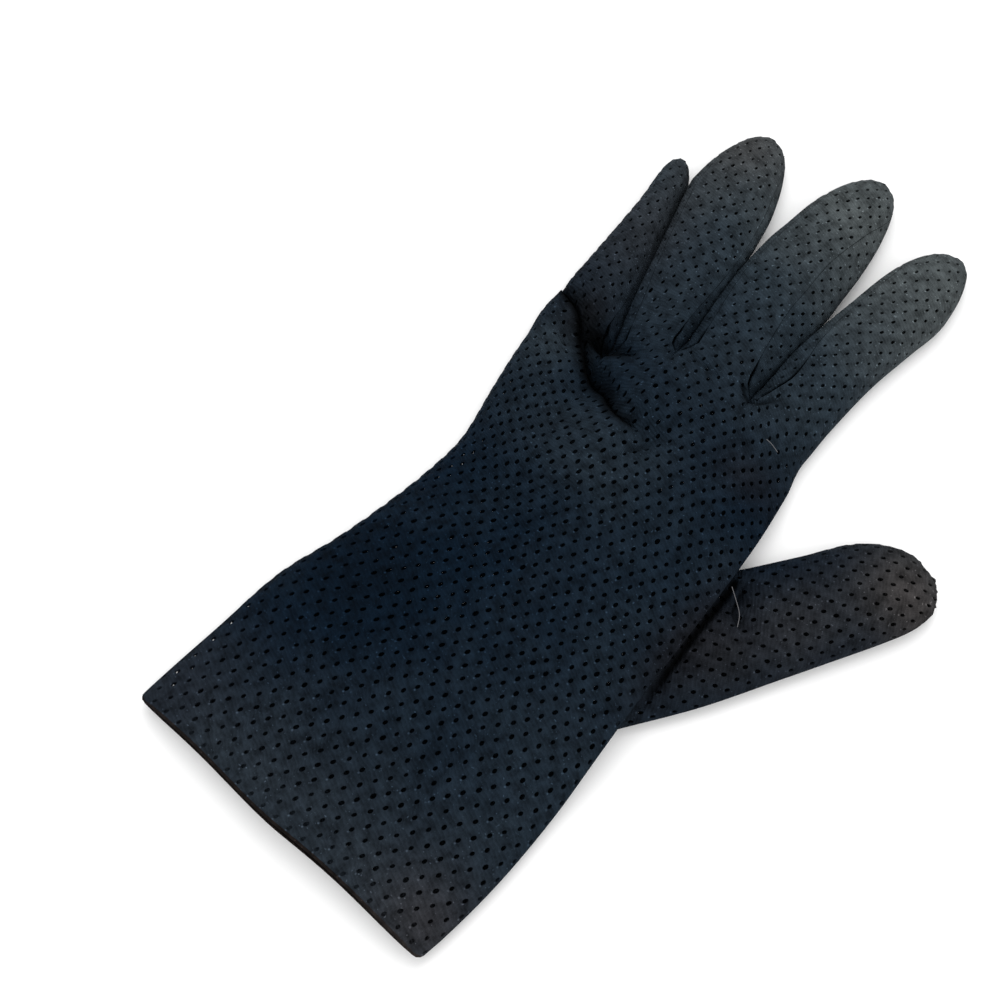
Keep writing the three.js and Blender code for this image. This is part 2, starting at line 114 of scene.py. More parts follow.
def bell(x: np.ndarray, middle: float, reach: float) -> np.ndarray:
    """Bell curve exp(-t²) of the share t = (x - middle) / reach."""
    return np.exp(-(((x - middle) / reach) ** 2))


def heading(lean: float) -> tuple[np.ndarray, np.ndarray]:
    """Unit vectors along an axis that leans from +Y towards +X by some degrees, and to its right."""
    angle = np.radians(lean)
    return np.array([np.sin(angle), np.cos(angle)]), np.array([np.cos(angle), -np.sin(angle)])


def rowwise(places: np.ndarray, knots: np.ndarray, values: np.ndarray) -> np.ndarray:
    """Linear interpolation of each row of values over its own row of knots.

    Args:
        places: where to read, one row each.
        knots: rising positions, one row each.
        values: the values there, one row each.

    Returns:
        The values read, one row each.
    """
    return np.stack([np.interp(p, k, v) for p, k, v in zip(places, knots, values)])


def row_widths(table: np.ndarray) -> np.ndarray:
    """The width of each row of a table of points, from its first to its last in plan."""
    return np.maximum(np.linalg.norm(table[:, -1, :2] - table[:, 0, :2], axis=1), 1e-6)


def crowded(length: float, pitch: float) -> np.ndarray:
    """Shares of a limb's length at the table's rows, which draw together at the tip.

    With m rows of eyelets from the tip, a row lies m² / (m + TIP_CROWD) row pitches from it.
    """
    rows = int(round(length / pitch + TIP_CROWD))
    m = rows - np.arange(rows * PER_ROW + 1) / PER_ROW
    reach = m * m / (m + TIP_CROWD)
    return 1 - reach / reach[0]


@dataclass(frozen=True)
class Sections:
    """A short table of sections, whose columns are read on a smooth curve through their values."""

    columns: tuple[str, ...]
    rows: tuple[tuple[float, ...], ...]

    def read(self, column: str, at: np.ndarray) -> np.ndarray:
        """Cubic Hermite curve through one column, with the slope between each row's two neighbours.

        Args:
            column: the column's name.
            at: places between the first and last row.

        Returns:
            The column's value at each place.
        """
        table = np.array(self.rows)
        knots = table[:, 0]
        values = table[:, self.columns.index(column)]
        last = len(knots) - 1
        index = np.arange(last + 1)
        before = np.maximum(index - 1, 0)
        after = np.minimum(index + 1, last)
        slope = (values[after] - values[before]) / (knots[after] - knots[before])
        place = np.clip(at, knots[0], knots[-1])
        i = np.clip(np.searchsorted(knots, place, side="right") - 1, 0, last - 1)
        step = knots[i + 1] - knots[i]
        t = (place - knots[i]) / step
        bend = lerp(values[i], values[i + 1], t * t * (3 - 2 * t))
        return bend + step * (t * (1 - t) ** 2 * slope[i] + t * t * (t - 1) * slope[i + 1])


def curve_through(knots: np.ndarray, steps: int) -> np.ndarray:
    """Points at equal steps on a smooth curve through knots, which are rows of coordinates."""
    columns = tuple("xyz"[: knots.shape[1]])
    table = Sections(("t", *columns), tuple((i, *knot) for i, knot in enumerate(knots)))
    t = np.linspace(0, len(knots) - 1, steps)
    return np.stack([table.read(column, t) for column in columns], -1)


# Outline and height of the hand from the cuff (0) to the crotches (1), as shares of half its width and of its
# height. lift raises the radial edge over the thumb's root.

HAND = Sections(
    ("at", "ulnar", "radial", "height", "lift"),
    (
        (0.00, 1.000, 1.000, 0.66, 0.00),
        (0.15, 0.994, 1.055, 0.76, 0.00),
        (0.28, 1.000, 1.077, 0.86, 0.12),
        (0.38, 0.935, 1.077, 0.93, 0.80),
        (0.46, 0.893, 1.066, 0.97, 1.00),
        (0.56, 0.852, 1.043, 1.00, 1.00),
        (0.64, 0.850, 1.021, 1.00, 1.00),
        (0.74, 0.943, 0.990, 0.98, 1.00),
        (0.82, 1.012, 0.950, 0.95, 0.60),
        (0.93, 1.080, 0.870, 0.90, 0.10),
        (1.00, 1.090, 0.820, 0.86, 0.00),
    ),
)
CUFF_FADE = 0.55

# The mouth: turn and phase of its wave in radians, and the shares of HAND_LENGTH over which its forms fade

WAVE_TURN = 9.5
WAVE_PHASE = 0.6
WAVE_FADE = 0.2
CORNER_FADE = 0.04

# Crotches and outer finger bases: shares of half PALM_WIDTH and of HAND_LENGTH, and the slit's lean

CROTCHES = (
    (-1.085, 0.925, -8.0),
    (-0.564, 0.923, -17.7),
    (-0.240, 1.012, -6.6),
    (0.314, 1.024, 1.5),
    (0.826, 0.985, 3.0),
)

EDGES = ("at", "left", "right", "left_strip", "right_strip")


@dataclass(frozen=True)
class Finger:
    """A finger of the glove: its size, its lean, its columns of eyelets and its outline's shares.

    left and right are shares of half its width. left_strip and right_strip are how wide the fourchette shows
    on that side, as shares of STRIP_WIDTH; a side with none folds round. lap is how far its left edge rises
    over its neighbour, and groove how far the open groove of its left seam runs up from the crotch.
    """

    name: str
    length: float
    width: float
    lean: float
    columns: float
    lap: float
    groove: float
    outline: Sections

    @property
    def share(self) -> float:
        """Its part of the cloth's width across the hand."""
        return self.columns / BACK_COLUMNS


FINGERS = (
    Finger(
        "little", 60.5, 20.0, -12.3, 6.0, 0.0, 0.0,
        Sections(EDGES, (
            (0.00, 1.10, 1.10, 0, 1.00), (0.20, 0.90, 1.05, 0, 0.55), (0.40, 0.72, 0.95, 0, 0.50),
            (0.70, 0.48, 0.78, 0, 0.50), (0.88, 0.41, 0.50, 0, 0.40), (0.96, 0.30, 0.28, 0, 0.30),
            (1.00, 0.14, 0.10, 0, 0.30),
        )),
    ),
    Finger(
        "ring", 76.0, 24.0, -12.6, 4.0, 1.0, 5.0,
        Sections(EDGES, (
            (0.00, 0.72, 0.72, 1.00, 1.00), (0.30, 0.98, 0.92, 0.50, 0.50), (0.62, 1.12, 0.96, 0.50, 0.50),
            (0.72, 1.02, 0.90, 0.50, 0.50), (0.84, 0.85, 0.74, 0.40, 0.40), (0.94, 0.56, 0.50, 0.30, 0.30),
            (1.00, 0.18, 0.16, 0.30, 0.30),
        )),
    ),
    Finger(
        "middle", 75.0, 26.0, -1.6, 6.5, 0.35, 6.0,
        Sections(EDGES, (
            (0.00, 0.90, 0.90, 1.00, 1.00), (0.30, 1.06, 1.02, 0.50, 2.30), (0.52, 1.06, 0.95, 0.50, 2.30),
            (0.60, 1.00, 0.92, 0.50, 2.05), (0.74, 0.90, 0.81, 0.50, 1.20), (0.88, 0.69, 0.60, 0.40, 0.50),
            (0.96, 0.42, 0.38, 0.30, 0.30), (1.00, 0.16, 0.12, 0.30, 0.30),
        )),
    ),
    Finger(
        "index", 71.0, 21.0, 4.4, 6.0, 0.45, 18.0,
        Sections(EDGES, (
            (0.00, 1.02, 1.02, 1.00, 0), (0.12, 1.10, 0.92, 1.50, 0), (0.34, 1.12, 0.84, 0.80, 0),
            (0.56, 1.07, 0.90, 0.50, 0), (0.71, 1.02, 0.95, 0.50, 0), (0.85, 0.88, 0.76, 0.40, 0),
            (0.94, 0.62, 0.52, 0.30, 0), (1.00, 0.22, 0.28, 0.30, 0),
        )),
    ),
)

THUMB_ROOT = (0.603, 35.1)
THUMB = Sections(
    ("at", "left", "right", "height"),
    (
        (-0.62, 1.12, 1.16, 0.00),
        (-0.31, 1.12, 1.10, 0.00),
        (0.00, 1.11, 1.05, 0.00),
        (0.30, 1.10, 0.90, 0.30),
        (0.53, 1.10, 0.78, 1.00),
        (0.73, 1.12, 0.67, 1.00),
        (0.86, 0.97, 0.56, 0.90),
        (0.95, 0.70, 0.37, 0.60),
        (1.00, 0.36, 0.16, 0.20),
    ),
)

# Folds of the back: x by half PALM_WIDTH and y by HAND_LENGTH of both ends, width and rise by PALM_HEIGHT

FOLDS = (
    (-1.02, 0.942, -0.77, 0.889, 0.36, -0.30),
    (-0.77, 0.889, -0.44, 0.839, 0.38, -0.28),
    (-0.44, 0.839, 0.00, 0.825, 0.42, -0.20),
    (-0.60, 0.611, -0.15, 0.789, 0.38, 0.12),
    (-0.81, 0.615, -0.31, 0.576, 0.80, -0.13),
    (-0.60, 1.022, -0.36, 0.998, 0.40, -0.16),
    (0.51, 0.903, 0.94, 0.894, 0.70, -0.15),
    (-0.82, 0.382, -0.48, 0.336, 1.00, -0.08),
    (0.62, 0.500, 0.72, 0.540, 1.00, -0.10),
    (1.10, 0.700, 1.23, 0.685, 0.42, -0.24),
    (-0.62, 0.910, -0.42, 0.925, 0.22, -0.24),
    (-0.60, 0.880, -0.36, 0.872, 0.18, 0.12),
    (-0.14, 0.979, 0.16, 0.981, 0.16, -0.09),
    (0.07, 0.785, 0.14, 0.874, 0.20, -0.08),
    (-0.11, 0.975, 0.24, 0.992, 0.30, 0.05),
    (0.54, 1.262, 0.86, 1.236, 0.14, -0.07),
    (0.56, 1.232, 0.84, 1.210, 0.12, -0.05),
)

# Ripples all over the cloth: wavelength in millimetres, direction in degrees, phase and height

RIPPLES = (
    (31.0, 20.0, 0.4, 0.16),
    (23.0, 105.0, 1.9, 0.12),
    (14.0, 62.0, 3.1, 0.07),
    (11.0, 150.0, 0.9, 0.05),
)

# How square the sections are, and the share of half the width that lies flat underneath

PALM_SHOULDER = 3.2
FINGER_SHOULDER = 2.6
FLAT_SHARE = 0.8

# Shares of a limb's length where a form starts, fades or ends, and the tip's rounding in millimetres

BASE_FADE = 0.4
BEND_START = 0.5
VALLEY_START = 0.92
THUMB_TIP = 0.2
STRIP_END = 0.93
STRIP_FADE = 0.2
TOUCH_ENDS = (0.72, 0.95)
TIP_ROUND = 3.4

# A flank under a lap: the share of its rise that is pressed away, and the place across where that starts

LAP_PRESS = 0.5
LAP_START = 0.35


def round_tip(left: np.ndarray, right: np.ndarray, at: np.ndarray, length: float) -> tuple:
    """Half widths to both sides, closed by a quarter ellipse over the last TIP_ROUND millimetres."""
    s = np.clip(1 - (1 - at) * length / TIP_ROUND, 0, 1)
    half = (left + right) / 2 * np.sqrt(1 - s * s)
    middle = (right - left) / 2
    return half - middle, half + middle


@dataclass(frozen=True)
class Crease:
    """A sharp crease of the cloth along a curve, with a lip that leans over it from its right-hand side.

    The line's points are shares of half PALM_WIDTH and of HAND_LENGTH. With s the distance to the left of
    the curve, the cloth sinks by bell curves of depth and trough, rises by one of lip and moves over the
    crease by one of shift, all in millimetres. It dies out from the share fade of its length on, and band is
    half the width of the painted shade laid along it.
    """

    line: tuple[tuple[float, float], ...]
    depth: float
    trough: float
    lip: float
    shift: float
    fade: float = 0.7
    band: float = 0.8

    STEPS = 60
    REACH = 9.0

    # Heights over which cloth begins to be pressed, and to take painted shade; what lies lower is the palm

    PRESSED = (1.4, 2.6)
    SHADE_HEIGHTS = (0.7, 1.3)

    # Middle and reach of each bell curve across the crease, in millimetres

    LIP_BELL = (-1.8, 1.7)
    DEPTH_BELL = (0.5, 0.9)
    TROUGH_BELL = (2.6, 2.6)
    SHIFT_BELL = (-0.6, 1.3)
    SLOPE_BELL = (2.4, 1.7)

    # Where the painted shade is deepest, how dark the painted shade on the slope beside it is, and the depth
    # that is darkest

    DARK_MIDDLE = 0.4
    SLOPE_DARK = 0.75
    DARKEST = 1.8

    def curve(self) -> np.ndarray:
        """Points on a smooth curve through the line's own points, in millimetres."""
        return curve_through(np.array(self.line) * (PALM_WIDTH / 2, HAND_LENGTH), self.STEPS)

    def measure(
        self, points: np.ndarray, gate: tuple[float, float]
    ) -> tuple[np.ndarray, np.ndarray, np.ndarray]:
        """Where points lie from the crease.

        Args:
            points: rows of 3, in millimetres.
            gate: heights between which the strength rises from 0 to 1.

        Returns:
            The distance to the left of the curve, the strength there from 0 to 1, and the way to the left.
        """
        curve = self.curve()
        way = np.diff(curve, axis=0)
        distance = np.full(len(points), np.inf)
        strength = np.zeros(len(points))
        left = np.zeros((len(points), 2))
        low, high = curve.min(axis=0) - self.REACH, curve.max(axis=0) + self.REACH
        near = np.flatnonzero(((points[:, :2] > low) & (points[:, :2] < high)).all(axis=1))
        off = points[near, None, :2] - curve[:-1]
        t = np.clip((off * way).sum(-1) / (way ** 2).sum(-1), 0, 1)
        off = off - t[..., None] * way
        gap = np.linalg.norm(off, axis=-1)
        best = gap.argmin(axis=1)
        pick = np.arange(len(near)), best
        side = np.sign(way[best, 0] * off[pick][:, 1] - way[best, 1] * off[pick][:, 0])
        along = (best + t[pick]) / len(way)
        distance[near] = gap[pick] * side
        strength[near] = (1 - smooth(along, self.fade, 1)) * smooth(points[near, 2], *gate)
        left[near] = np.stack([-way[best, 1], way[best, 0]], -1) / np.linalg.norm(way[best], axis=1)[:, None]
        return distance, strength, left

    def press(self, points: np.ndarray) -> np.ndarray:
        """Moves points of the cloth into the crease."""
        s, strength, left = self.measure(points, self.PRESSED)
        rise = self.lip * bell(s, *self.LIP_BELL)
        rise = rise - self.depth * bell(s, *self.DEPTH_BELL) - self.trough * bell(s, *self.TROUGH_BELL)
        moved = points.copy()
        moved[:, 2] = np.maximum(points[:, 2] + rise * strength, np.minimum(points[:, 2], self.PRESSED[0]))
        moved[:, :2] += left * (self.shift * bell(s, *self.SHIFT_BELL) * strength)[:, None]
        return moved

    def painted_shade(self, points: np.ndarray) -> np.ndarray:
        """Painted shade of the crease on points of the pressed cloth, from 0 to 1, strongest where they lie
        deep in it.
        """
        s, strength = self.measure(points, self.SHADE_HEIGHTS)[:2]
        slope = self.SLOPE_DARK * bell(s, *self.SLOPE_BELL) * min(self.trough, 1)
        dark = np.maximum(bell(s, self.DARK_MIDDLE, self.band), slope)
        return dark * strength * min(self.depth / self.DARKEST, 1)


# The tuck across the knuckles, the pocket under the ring's base, folds at the finger bases and at the thumb

CREASES = (
    Crease(
        ((-1.041, 0.943), (-0.897, 0.930), (-0.778, 0.902), (-0.678, 0.879), (-0.576, 0.854),
         (-0.475, 0.840), (-0.369, 0.836), (-0.288, 0.823), (-0.187, 0.815), (-0.098, 0.818),
         (-0.015, 0.824)),
        depth=3.0, trough=1.3, lip=0.6, shift=1.0, fade=0.85, band=2.3,
    ),
    Crease(
        ((-0.660, 0.904), (-0.600, 0.898), (-0.539, 0.896), (-0.479, 0.902), (-0.430, 0.916),
         (-0.400, 0.935)),
        depth=1.8, trough=0.6, lip=0.5, shift=0.5, fade=0.8, band=1.7,
    ),
    Crease(((-0.640, 0.929), (-0.600, 0.919), (-0.575, 0.899)), depth=1.2, trough=0.3, lip=0.3, shift=0.4),
    Crease(
        ((0.03, 0.778), (0.085, 0.812), (0.13, 0.858)),
        depth=0.7, trough=0.3, lip=0.3, shift=0.3, fade=0.4,
    ),
    Crease(
        ((-0.13, 0.985), (0.02, 0.978), (0.15, 0.983)),
        depth=0.6, trough=0.3, lip=0.2, shift=0.3, fade=0.4,
    ),
    Crease(
        ((0.245, 0.992), (0.300, 0.985), (0.350, 0.984), (0.406, 0.991), (0.460, 1.008), (0.500, 1.035)),
        depth=1.4, trough=0.2, lip=0.3, shift=0.3,
    ),
)
THUMB_CREASES = (
    Crease(((1.075, 0.722), (1.115, 0.692), (1.235, 0.676)), depth=1.3, trough=0.8, lip=0.4, shift=0.5),
    Crease(
        ((1.000, 0.730), (1.020, 0.680), (1.035, 0.620), (1.055, 0.560), (1.075, 0.500), (1.090, 0.450)),
        depth=1.8, trough=0.4, lip=0.0, shift=0.0, fade=0.6, band=1.6,
    ),
)

# The mouth's edge, and the loose threads at the thumb's root and on the back, in millimetres

EDGE_RADIUS = 0.40
THREAD_RADIUS = 0.10
THREAD_STEPS = 24
CORD_SIDES = 6
LOOSE_THREADS = (
    ((43.2, 115.8, 9.2), (46.0, 114.0, 8.6), (48.9, 111.8, 8.2), (50.6, 109.0, 7.8)),
    ((25.0, 152.1, 11.4), (26.8, 151.8, 11.6), (29.3, 151.1, 11.4)),
)

# Meshes: joining distance in metres, reaches of the finer cuts in millimetres, sharp edges in degrees

WELD_DISTANCE = 0.00001
CUT_REACHES = (4.2, 2.4)
SHARP_ANGLE = 50

# The cloth's tones. It grows pale along the fingers, and has zones of its own: x, y and the reaches across
# and along in millimetres, then how pale, how brown and how much painted shade each one has

PALE_ALONG = (142.0, 242.0)
PALE_LEAN = 0.25
PALE_LEAST = 0.04
ZONES = (
    (0.0, 0.0, 90.0, 24.0, 0.26, 0.10, 0.00),
    (42.0, 6.0, 13.0, 12.0, -0.12, 0.38, 0.00),
    (42.0, 45.0, 20.0, 45.0, 0.18, 0.00, 0.00),
    (-26.0, 58.0, 15.0, 15.0, -0.10, 0.00, 0.30),
    (44.0, 96.0, 6.0, 18.0, -0.10, 0.20, 0.45),
    (-8.0, 120.0, 30.0, 15.0, 0.24, 0.00, 0.00),
    (-36.0, 139.0, 9.0, 9.0, 0.34, 0.00, 0.00),
    (28.0, 142.0, 9.0, 6.0, -0.05, 0.15, 0.25),
    (0.0, 160.0, 60.0, 14.0, 0.14, 0.00, 0.00),
    (-40.0, 185.0, 12.0, 25.0, 0.08, 0.25, 0.00),
    (-36.0, 222.0, 12.0, 12.0, 0.00, 0.45, 0.00),
    (52.0, 102.0, 9.0, 12.0, 0.04, 0.22, 0.20),
    (62.0, 120.0, 12.0, 14.0, 0.14, 0.25, 0.00),
    (78.0, 144.0, 14.0, 12.0, 0.40, 0.75, 0.00),
    (-42.0, 8.0, 14.0, 18.0, -0.10, 0.08, 0.00),
    (-34.5, 150.5, 5.5, 7.0, 0.00, 0.20, 0.85),
    (-28.5, 147.5, 3.5, 4.0, 0.00, 0.00, 0.80),
    (-21.5, 148.0, 5.0, 2.6, 0.00, 0.00, 0.90),
)


class Side(Enum):
    """Which face of the lying glove a panel belongs to."""

    BACK = 0
    PALM = 1


class Form:
    """The glove's shape: every panel of cloth as points over its rows and across its width."""

    def __init__(self) -> None:
        """Places the crotches and the thumb's root."""
        self.crotches = [np.array([x * PALM_WIDTH / 2, y * HAND_LENGTH]) for x, y, lean in CROTCHES]
        self.slits = [heading(lean)[1] for x, y, lean in CROTCHES]
        root = THUMB_ROOT[0] * HAND_LENGTH
        self.thumb_middle = np.array([self.hand_edges(np.array(root))[1], root])

    def hand_edges(self, y: np.ndarray) -> tuple[np.ndarray, np.ndarray]:
        """The hand's ulnar and radial edges at heights y along it."""
        at = y / HAND_LENGTH
        half = lerp(CUFF_WIDTH, PALM_WIDTH, smooth(at, 0, CUFF_FADE)) / 2
        return -HAND.read("ulnar", at) * half, HAND.read("radial", at) * half

    def finger_edge(self, k: int, side: int, at: np.ndarray) -> np.ndarray:
        """A finger's side edge: its own width, led in from the crotch and stopped at the slit.

        Args:
            k: the finger's number from the little finger.
            side: -1 for the left edge, 1 for the right.
            at: shares of the finger's length.

        Returns:
            Plan points, one for each share.
        """
        finger = FINGERS[k]
        along, right = heading(finger.lean)
        ends = self.crotches[k], self.crotches[k + 1]
        across = (ends[1] - ends[0]) / np.linalg.norm(ends[1] - ends[0])
        outer = (k == 0 and side < 0) or (k == len(FINGERS) - 1 and side > 0)
        base = ends[0 if side < 0 else 1] - side * across * (0 if outer else FINGER_GAP / 2)

        def free(share: np.ndarray) -> np.ndarray:
            """The edge of the finger's own width at a share of its length."""
            widths = [finger.outline.read(name, share) * finger.width / 2 for name in ("left", "right")]
            width = round_tip(*widths, share, finger.length)[0 if side < 0 else 1]
            middle = (ends[0] + ends[1]) / 2
            return middle + np.outer(share * finger.length, along) + side * np.outer(width, right)

        lead = (1 - smooth(at, 0, BASE_FADE))[:, None] * (base - free(np.zeros(1)))
        edge = free(at) + lead
        if outer:
            return edge
        slit = k if side < 0 else k + 1
        past = side * (edge - self.crotches[slit]) @ self.slits[slit] + FINGER_GAP / 2
        return edge - side * np.outer(np.maximum(past, 0), self.slits[slit])

    def fold_rise(self, x: np.ndarray, y: np.ndarray) -> np.ndarray:
        """Height of all folds at plan points: the sum of a bell curve about each fold's line."""
        rise = np.zeros_like(x)
        for x0, y0, x1, y1, width, height in FOLDS:
            start = np.array([x0 * PALM_WIDTH / 2, y0 * HAND_LENGTH])
            way = np.array([x1 * PALM_WIDTH / 2, y1 * HAND_LENGTH]) - start
            t = np.clip(((x - start[0]) * way[0] + (y - start[1]) * way[1]) / (way @ way), 0, 1)
            off = np.hypot(x - start[0] - t * way[0], y - start[1] - t * way[1])
            rise += height * PALM_HEIGHT * np.exp(-((off / (width * PALM_HEIGHT)) ** 2))
        for length, turn, phase, height in RIPPLES:
            across = x * np.cos(np.radians(turn)) + y * np.sin(np.radians(turn))
            rise += height * np.sin(2 * np.pi * across / length + phase)
        return rise

    def section(
        self,
        c: np.ndarray,
        plan: np.ndarray,
        height: np.ndarray,
        edges: tuple[np.ndarray, np.ndarray],
        shoulder: float,
        end: np.ndarray,
        flank: np.ndarray | float = 1.0,
    ) -> tuple[np.ndarray, np.ndarray]:
        """Upper and lower height of a flattened section.

        The top rises from the edge's height by the root of (1 - |c|^shoulder)(1 - end²), and the bottom lies
        flat and turns up to the edge as a square over the outer part.

        Args:
            c: from -1 at the left edge to 1 at the right.
            plan: the points' plan places.
            height: the section's height.
            edges: heights of the left and right edge.
            shoulder: how square the section is.
            end: 0 along the limb, rising to 1 over its rounded tip.
            flank: the share of the rise that is left where a side is pressed down.

        Returns:
            The heights of the top and of the bottom.
        """
        edge = lerp(edges[0], edges[1], (1 + c) / 2)
        dome = np.sqrt(np.maximum((1 - np.abs(c) ** shoulder) * (1 - end * end), 0)) * flank
        side = np.maximum(np.abs(c), end)
        turn = np.maximum(side - FLAT_SHARE, 0) / (1 - FLAT_SHARE)
        folds = self.fold_rise(plan[..., 0], plan[..., 1])
        return edge + (height + folds - edge) * dome, edge * turn * turn

    def finger_section(self, k: int, at: np.ndarray, c: np.ndarray, plan: np.ndarray) -> tuple:
        """Heights of a finger's section.

        An edge that touches its neighbour is pressed up, and more where it laps it. The neighbour's flank
        under a lap is pressed down.
        """
        finger = FINGERS[k]
        tip = finger.width / 2 / finger.length
        end = np.maximum(at + tip - 1, 0) / tip
        touch = smooth(at, 0, BASE_FADE / 2) * (1 - smooth(at, *TOUCH_ENDS))
        under = FINGERS[k + 1].lap if k + 1 < len(FINGERS) else 0.0
        left = lerp(TOUCH_HEIGHT, LAP_HEIGHT, finger.lap) if k > 0 else EDGE_HEIGHT
        right = lerp(TOUCH_HEIGHT, LAPPED_HEIGHT, under) if k + 1 < len(FINGERS) else EDGE_HEIGHT
        edges = lerp(EDGE_HEIGHT, left, touch), lerp(EDGE_HEIGHT, right, touch)
        flank = 1 - LAP_PRESS * under * touch * smooth(c, LAP_START, 1)
        return self.section(c, plan, FINGER_HEIGHT, edges, FINGER_SHOULDER, end, flank)

    def hand_rows(self, k: int, v: np.ndarray, c: np.ndarray) -> list[np.ndarray]:
        """One finger's part of the hand, from the cuff to its base line.

        Rows run straight across the wrist and bend to the crotches at the upper end, where the section
        passes from the palm's single dome to the finger's own.

        Args:
            k: the finger's number.
            v: rows, from 0 at the cuff to 1 at the crotches.
            c: columns, from -1 to 1 across this finger's part.

        Returns:
            Points of the back and of the palm, as rows by columns by 3.
        """
        v = v[:, None]
        first, last = self.crotches[0], self.crotches[-1]
        target = lerp(self.crotches[k][:, None], self.crotches[k + 1][:, None], (1 + c) / 2)
        bend = smooth(v, BEND_START, 1)
        valley = smooth(v, VALLEY_START, 1)
        y = v * HAND_LENGTH + (target[1] - HAND_LENGTH) * bend
        low = v * HAND_LENGTH + (first[1] - HAND_LENGTH) * bend
        high = v * HAND_LENGTH + (last[1] - HAND_LENGTH) * bend
        ulnar = lerp(self.hand_edges(low)[0], first[0], valley)
        radial = lerp(self.hand_edges(high)[1], last[0], valley)
        before = sum(finger.share for finger in FINGERS[:k])
        across = before + FINGERS[k].share * (1 + c) / 2
        share = lerp(across, (target[0] - first[0]) / (last[0] - first[0]), bend)
        turn = 2 * CUFF_CORNER / CUFF_WIDTH
        corner = np.clip((np.abs(2 * share - 1) - 1 + turn) / turn, 0, 1)
        y = y + CUFF_CORNER * (1 - np.sqrt(1 - corner * corner)) * (1 - smooth(v, 0, CORNER_FADE))
        wave = CUFF_WAVE * np.sin(WAVE_TURN * share + WAVE_PHASE) * (1 - smooth(v, 0, WAVE_FADE))
        y = y + wave * (1 - np.abs(2 * share - 1))
        plan = np.stack([lerp(ulnar, radial, share), y * np.ones_like(share)], -1)
        raised = THUMB_ROOT_HEIGHT + SEAM_GAP + SOLID_WALL
        edges = EDGE_HEIGHT, lerp(EDGE_HEIGHT, raised, HAND.read("lift", v))
        height = HAND.read("height", v) * PALM_HEIGHT
        wide = self.section(2 * share - 1, plan, height, edges, PALM_SHOULDER, np.zeros_like(v))
        narrow = self.finger_section(k, np.zeros_like(v), c, plan)
        return [np.dstack([plan, lerp(w, n, valley)]) for w, n in zip(wide, narrow)]

    def finger_rows(self, k: int, at: np.ndarray, c: np.ndarray) -> list[np.ndarray]:
        """A finger from its base to its tip: points of the back and of the palm, rows by columns by 3."""
        left = self.finger_edge(k, -1, at)[:, None]
        right = self.finger_edge(k, 1, at)[:, None]
        plan = lerp(left, right, (1 + c[None, :, None]) / 2)
        heights = self.finger_section(k, at[:, None], c[None, :], plan)
        return [np.dstack([plan, z]) for z in heights]

    def thumb_rows(self, at: np.ndarray, c: np.ndarray) -> list[np.ndarray]:
        """The thumb from inside the hand to its tip: points of the back and of the palm."""
        along, right = heading(THUMB_ROOT[1])
        middle = self.thumb_middle + np.outer(at * THUMB_LENGTH, along)
        sides = [THUMB.read(name, at) * THUMB_WIDTH / 2 for name in ("left", "right")]
        left_side, right_side = round_tip(*sides, at, THUMB_LENGTH)
        across = lerp(-left_side[:, None], right_side[:, None], (1 + c) / 2)
        plan = middle[:, None] + across[..., None] * right
        height = lerp(THUMB_ROOT_HEIGHT, THUMB_HEIGHT, THUMB.read("height", at))[:, None]
        end = np.maximum(at + THUMB_TIP - 1, 0)[:, None] / THUMB_TIP
        edges = EDGE_HEIGHT, EDGE_HEIGHT
        heights = self.section(c[None, :], plan, height, edges, FINGER_SHOULDER, end)
        return [np.dstack([plan, z]) for z in heights]

    def root_line(self, y: np.ndarray) -> np.ndarray:
        """The x of the bow along which the thumb is set into the hand, at heights y; far out past its ends.

        The bow is the quadratic curve from one end of the root to the other, read at equal shares of y.
        """
        low = self.thumb_middle[1] - THUMB_ROOT_WIDTH / 2
        high = self.thumb_middle[1] + THUMB_ROOT_WIDTH / 2
        ends = [self.hand_edges(np.array(edge))[1] - THUMB_OVERLAP for edge in (low, high)]
        bow = self.thumb_middle[0] - 2 * THUMB_INSERT + THUMB_OVERLAP
        t = (y - low) / (high - low)
        line = (1 - t) ** 2 * ends[0] + 2 * t * (1 - t) * bow + t * t * ends[1]
        return np.where((t > 0) & (t < 1), line, np.inf)


